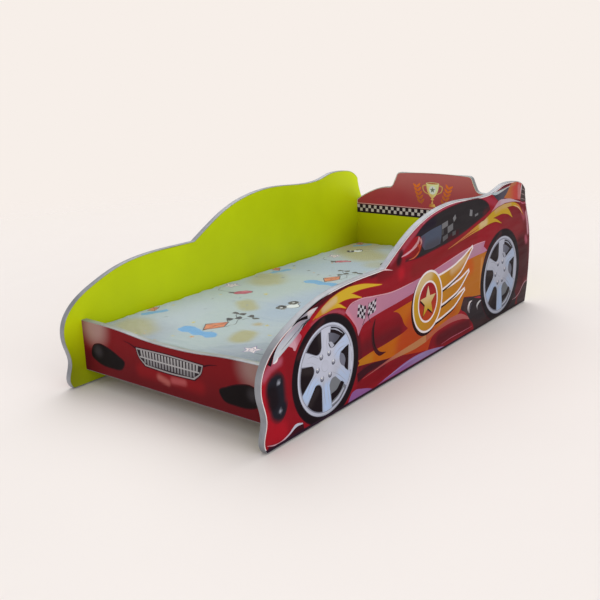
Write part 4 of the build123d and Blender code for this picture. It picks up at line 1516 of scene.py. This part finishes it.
def cloth_ground():
    """Pale washes of colour, with painted shade along the near edge and the foot, and a painted
    reflection of the lime boards with shade in the far corner by the headboard.
    """
    mint, sky, shade = ink(168, 187, 188), ink(156, 177, 202), ink(120, 131, 152)
    olive, ochre = ink(163, 159, 100), ink(170, 146, 62)
    return airbrush(
        ink(172, 188, 200),
        # painted shade along the near edge, where the near board shades the cloth
        ("330,100 330,1100", 60, 150, shade, 0.8),
        # painted reflection of the lime boards and painted shade in the far corner by the headboard
        ("-310,1400", 50, 120, ink(172, 158, 96), 0.8),
        # painted shade at the foot
        ("-300,70 300,70", 60, 150, shade, 0.55),
        ("0,160 -60,400", 30, 130, mint, 0.8),
        ("-200,560 -120,760", 40, 140, mint, 0.8),
        ("40,480 60,760", 30, 120, sky, 0.8),
        ("-260,980 0,1120", 30, 150, sky, 0.7),
        ("96,236 84,268", 20, 26, olive, 0.85),
        ("58,352", 8, 12, ochre, 0.7),
        ("-70,462 -118,500", 16, 26, olive, 0.8),
        ("-200,130 -250,160", 30, 56, olive, 0.75),
        ("-230,740 -270,790", 30, 60, olive, 0.75),
        ("-140,1230 -240,1290", 40, 80, olive, 0.8),
        ("-40,1130", 20, 50, olive, 0.5),
        ("190,330 230,360", 12, 30, olive, 0.5),
        ("150,1250 230,1290", 30, 60, olive, 0.6),
        ("240,820", 30, 60, olive, 0.5),
    )


def scattered_spots():
    """150 small stars and dots all over the cloth."""
    chance = np.random.default_rng(11)
    tints = (ink(150, 166, 178), ink(196, 186, 96), ink(120, 132, 146), ink(206, 150, 84))
    layers = []
    for number in range(150):
        spot = (chance.uniform(-420, 420), chance.uniform(-30, 1590))
        reach = chance.uniform(3, 7.5)
        tint = tints[chance.integers(len(tints))]
        if number % 3 == 0:
            edge = star(spot, reach * 1.5, reach * 0.65, chance.uniform(0, 72))
        else:
            edge = ellipse(spot, reach, reach * chance.uniform(0.4, 0.8), chance.uniform(0, 180))
        layers.append((edge, tint))
    return layers


# each motif's places on the cloth, as (across, along), size, turn
MOTIFS = {
    kite_and_cloud: "-44,290,1,0 -66,890,0.95,6 -330,300,0.62,60 -330,900,0.62,70 "
                    "-318,1440,0.6,50 240,560,0.9,-8 250,1180,0.9,4 -60,1480,0.8,8",
    balloon: "-204,588,1.05,-50 -172,1112,1,-60 150,1010,0.9,-20 240,260,0.9,30",
    toy_car: "14,548,1,-90 -20,1180,0.9,-80 200,800,0.9,-60 60,1350,0.9,-90 -240,1300,0.8,-100",
}


def sheet_layers(outline):
    """The cloth's print in (across, along the car)."""
    layers = [(outline, cloth_ground())] + scattered_spots()
    for motif, places in MOTIFS.items():
        for across, along, size, turn in points(places):
            turned = [(moved(edge, (0, 0), size, turn), paint) for edge, paint in motif()]
            layers += placed(turned, (across, along))
    return layers


def gathers(at, beyond):
    """Moves in metres: the hem's gathers under the mattress and the corners' upright pleats."""
    held = np.clip(at, CORNER - HALF, HALF - CORNER)
    way = at - held
    turn = np.arctan2(way[:, 1], way[:, 0])
    travel = held[:, 0] + held[:, 1] + turn * 60
    start = 2 * QUARTER + WALL
    gather = ease((beyond - start + 6) / 40)
    rise = gather * (2.2 + 1.8 * np.sin(travel / 4.3) * np.sin(travel / 19 + 1))
    wall = ease(beyond / 30) * (1 - ease((beyond - start + 14) / 20))
    tension = wall * np.abs(way).min(1) / np.maximum(np.abs(way).max(1), 1)
    pleat = 1.2 * tension * np.sin(turn * 34)
    out = way / np.maximum(np.linalg.norm(way, axis=1), 1)[:, None] * pleat[:, None]
    return np.c_[out, rise] * MM


def rounded_box(half, radius, step):
    """Points round a rectangle with round corners, step degrees apart, counterclockwise."""
    angle = np.radians(np.arange(0, 360, step))
    way = np.stack([np.cos(angle), np.sin(angle)], 1)
    return (half - radius) * np.sign(np.round(way, 6) + 1e-9) + way * radius


def fitted_sheet():
    """The printed sheet: stretched over the top, tucked under and gathered by its elastic."""
    half = HALF - EDGE + REACH
    loop = rounded_box(half, CORNER - EDGE + REACH, 4)
    to_print = np.array([MIDDLE[0], MIDDLE[1] - NOSE / MM])
    at, faces, colours = partition(loop + to_print, sheet_layers(loop + to_print), CLOTH_GRID)
    at = at - to_print
    place, beyond = wrapped(at)
    lines, moves = settled_creases()
    place += sampled(lines, moves, at) * ease((40 - beyond) / 30)[:, None]
    place += gathers(at, beyond)
    if np.cross(*(place[faces[0]][k] - place[faces[0]][0] for k in (1, 2)))[2] < 0:
        faces, colours = faces[:, ::-1], colours[:, ::-1]
    sheet = add_piece("printed_sheet", place, list(map(tuple, faces)), materials["sheet"])
    paint_corners(sheet, colours)
    thick = sheet.modifiers.new("thickness", "SOLIDIFY")
    thick.thickness = CLOTH_THICKNESS
    thick.offset = -1
    handed_over(sheet, "mattress", "sheet_cotton", "fitted_sheet")
    gathered_hem()


def gathered_hem():
    """The elastic in its hem, a flat band that ripples round the opening under the mattress."""
    loop = spline(rounded_box(HALF - TURN_UNDER - 4, 40, 6), True, 5.0)
    out = -normals_of(loop, True)
    ring = np.arange(len(loop))
    wave = np.sin(ring * 1.9) * 0.6 + np.sin(ring * 0.53) * 0.5
    section = points("-4.5,0 -4.5,1.6 -2,2.4 2,2.4 4.5,1.6 4.5,0 2,-0.4 -2,-0.4")
    rings = [np.c_[loop + out * (across + wave[:, None] * 0.8) + MIDDLE,
                   UNDER + 1.3 + up + np.abs(wave) * 0.9] * MM for across, up in section]
    return handed_over(closed_band("elastic_hem", rings, materials["elastic"], 80), "mattress",
                       "elastic", "sheet_elastic")


# --- the CAD nodes that stay, with their materials ------------------------------------------
def dress_nodes():
    """Gives each CAD node the finish of the first entry that its name starts with."""
    finish = {"side_panel": "laminate", "headboard_panel": "shaded_head_laminate",
              "footboard_panel": "laminate", "slat_rail": "rail", "rail_screws": "steel",
              "cam_locks": "zinc", "cam_bolts": "steel", "cam_caps": "cap", "dowels": "beech",
              "floor_glides": "glide", "glide_nails": "steel", "slat_webbing": "webbing",
              "slat_staples": "steel", "slat_": "slat"}
    for name, node in nodes.items():
        fitting = [material for start, material in finish.items() if name.startswith(start)]
        if fitting:
            wear(node, materials[fitting[0]])


# --- room, light and camera -----------------------------------------------------------------
FLOOR_COLOUR = ink(233, 228, 226)
WORLD_COLOUR = ink(247, 239, 233)
AROUND_COLOUR = ink(168, 166, 164)
WARM_WHITE = (1.0, 0.985, 0.97)
FLOOR_RINGS = (1.5, 4.0, 9.0)  # metres
FOCAL_LENGTH = 47.6           # mm on a sensor 36 mm wide
EYE = (1.4781, -2.0511, 0.8588)  # metres
TILT = (74.063, 1.514, 37.476)  # degrees
SUNS = (                      # name, way the light goes, spread in degrees, power
    ("overhead_soft", (-0.20, -0.10, -0.98), 70, 0.48),
    ("far_soft", (0.28, -0.54, -0.79), 60, 1.72),
    ("side_soft", (-0.94, 0.14, -0.30), 60, 0.96),
    ("front_soft", (0.10, 0.93, -0.30), 60, 0.66),
)


def room():
    """A pale floor that fades into an even, pale world."""
    count = 96
    places = [(0.0, 0.0, 0.0)]
    for reach in FLOOR_RINGS:
        places += [(reach * math.cos(a), reach * math.sin(a), 0.0)
                   for a in np.arange(count) * 2 * math.pi / count]
    faces = [(0, 1 + i, 1 + (i + 1) % count) for i in range(count)]
    for first in (1, 1 + count):
        faces += [(first + i, first + count + i, first + count + (i + 1) % count,
                   first + (i + 1) % count) for i in range(count)]
    s = Shader("pale_floor", Roughness=0.85, Specular_IOR_Level=0.15)
    out = s.add("VectorMath", {"Vector": s.at}, operation="LENGTH").outputs["Value"]
    s.set(Base_Color=s.ramp(s.noise(2.0, 2.0), (0.3, FLOOR_COLOUR * 0.99), (0.7, FLOOR_COLOUR)),
          Alpha=s.remap(out, 1.0, 0.0, 1.6, 4.0))
    add_piece("floor", places, faces, s.material)


def lights():
    """An even pale backdrop, dimmer light from all round, and four broad soft suns."""
    world = bpy.data.worlds.new("studio")
    bpy.context.scene.world = world
    world.use_nodes = True
    tree = world.node_tree
    backdrop = tree.nodes["Background"]
    backdrop.inputs["Color"].default_value = (*WORLD_COLOUR, 1.0)
    around = tree.nodes.new("ShaderNodeBackground")
    around.inputs["Color"].default_value = (*AROUND_COLOUR, 1.0)
    seen = tree.nodes.new("ShaderNodeLightPath")
    either = tree.nodes.new("ShaderNodeMixShader")
    tree.links.new(seen.outputs["Is Camera Ray"], either.inputs[0])
    tree.links.new(around.outputs[0], either.inputs[1])
    tree.links.new(backdrop.outputs[0], either.inputs[2])
    tree.links.new(either.outputs[0], tree.nodes["World Output"].inputs["Surface"])
    for name, way, spread, power in SUNS:
        lamp = bpy.data.lights.new(name, "SUN")
        lamp.energy = power
        lamp.angle = math.radians(spread)
        lamp.color = WARM_WHITE
        holder = bpy.data.objects.new(name, lamp)
        holder.rotation_euler = Vector(way).to_track_quat("-Z", "Y").to_euler()
        bpy.context.scene.collection.objects.link(holder)


def camera():
    """Looks from the near side of the nose, slightly down."""
    lens = bpy.data.cameras.new("camera")
    lens.sensor_width = 36.0
    lens.lens = FOCAL_LENGTH
    holder = bpy.data.objects.new("camera", lens)
    holder.location = EYE
    holder.rotation_euler = tuple(map(math.radians, TILT))
    bpy.context.scene.collection.objects.link(holder)
    bpy.context.scene.camera = holder


bpy.context.scene.view_settings.view_transform = "Standard"

camera()
lights()
room()
dress_nodes()
printed_boards()
mattress_body()
fitted_sheet()

bpy.context.view_layer.update()
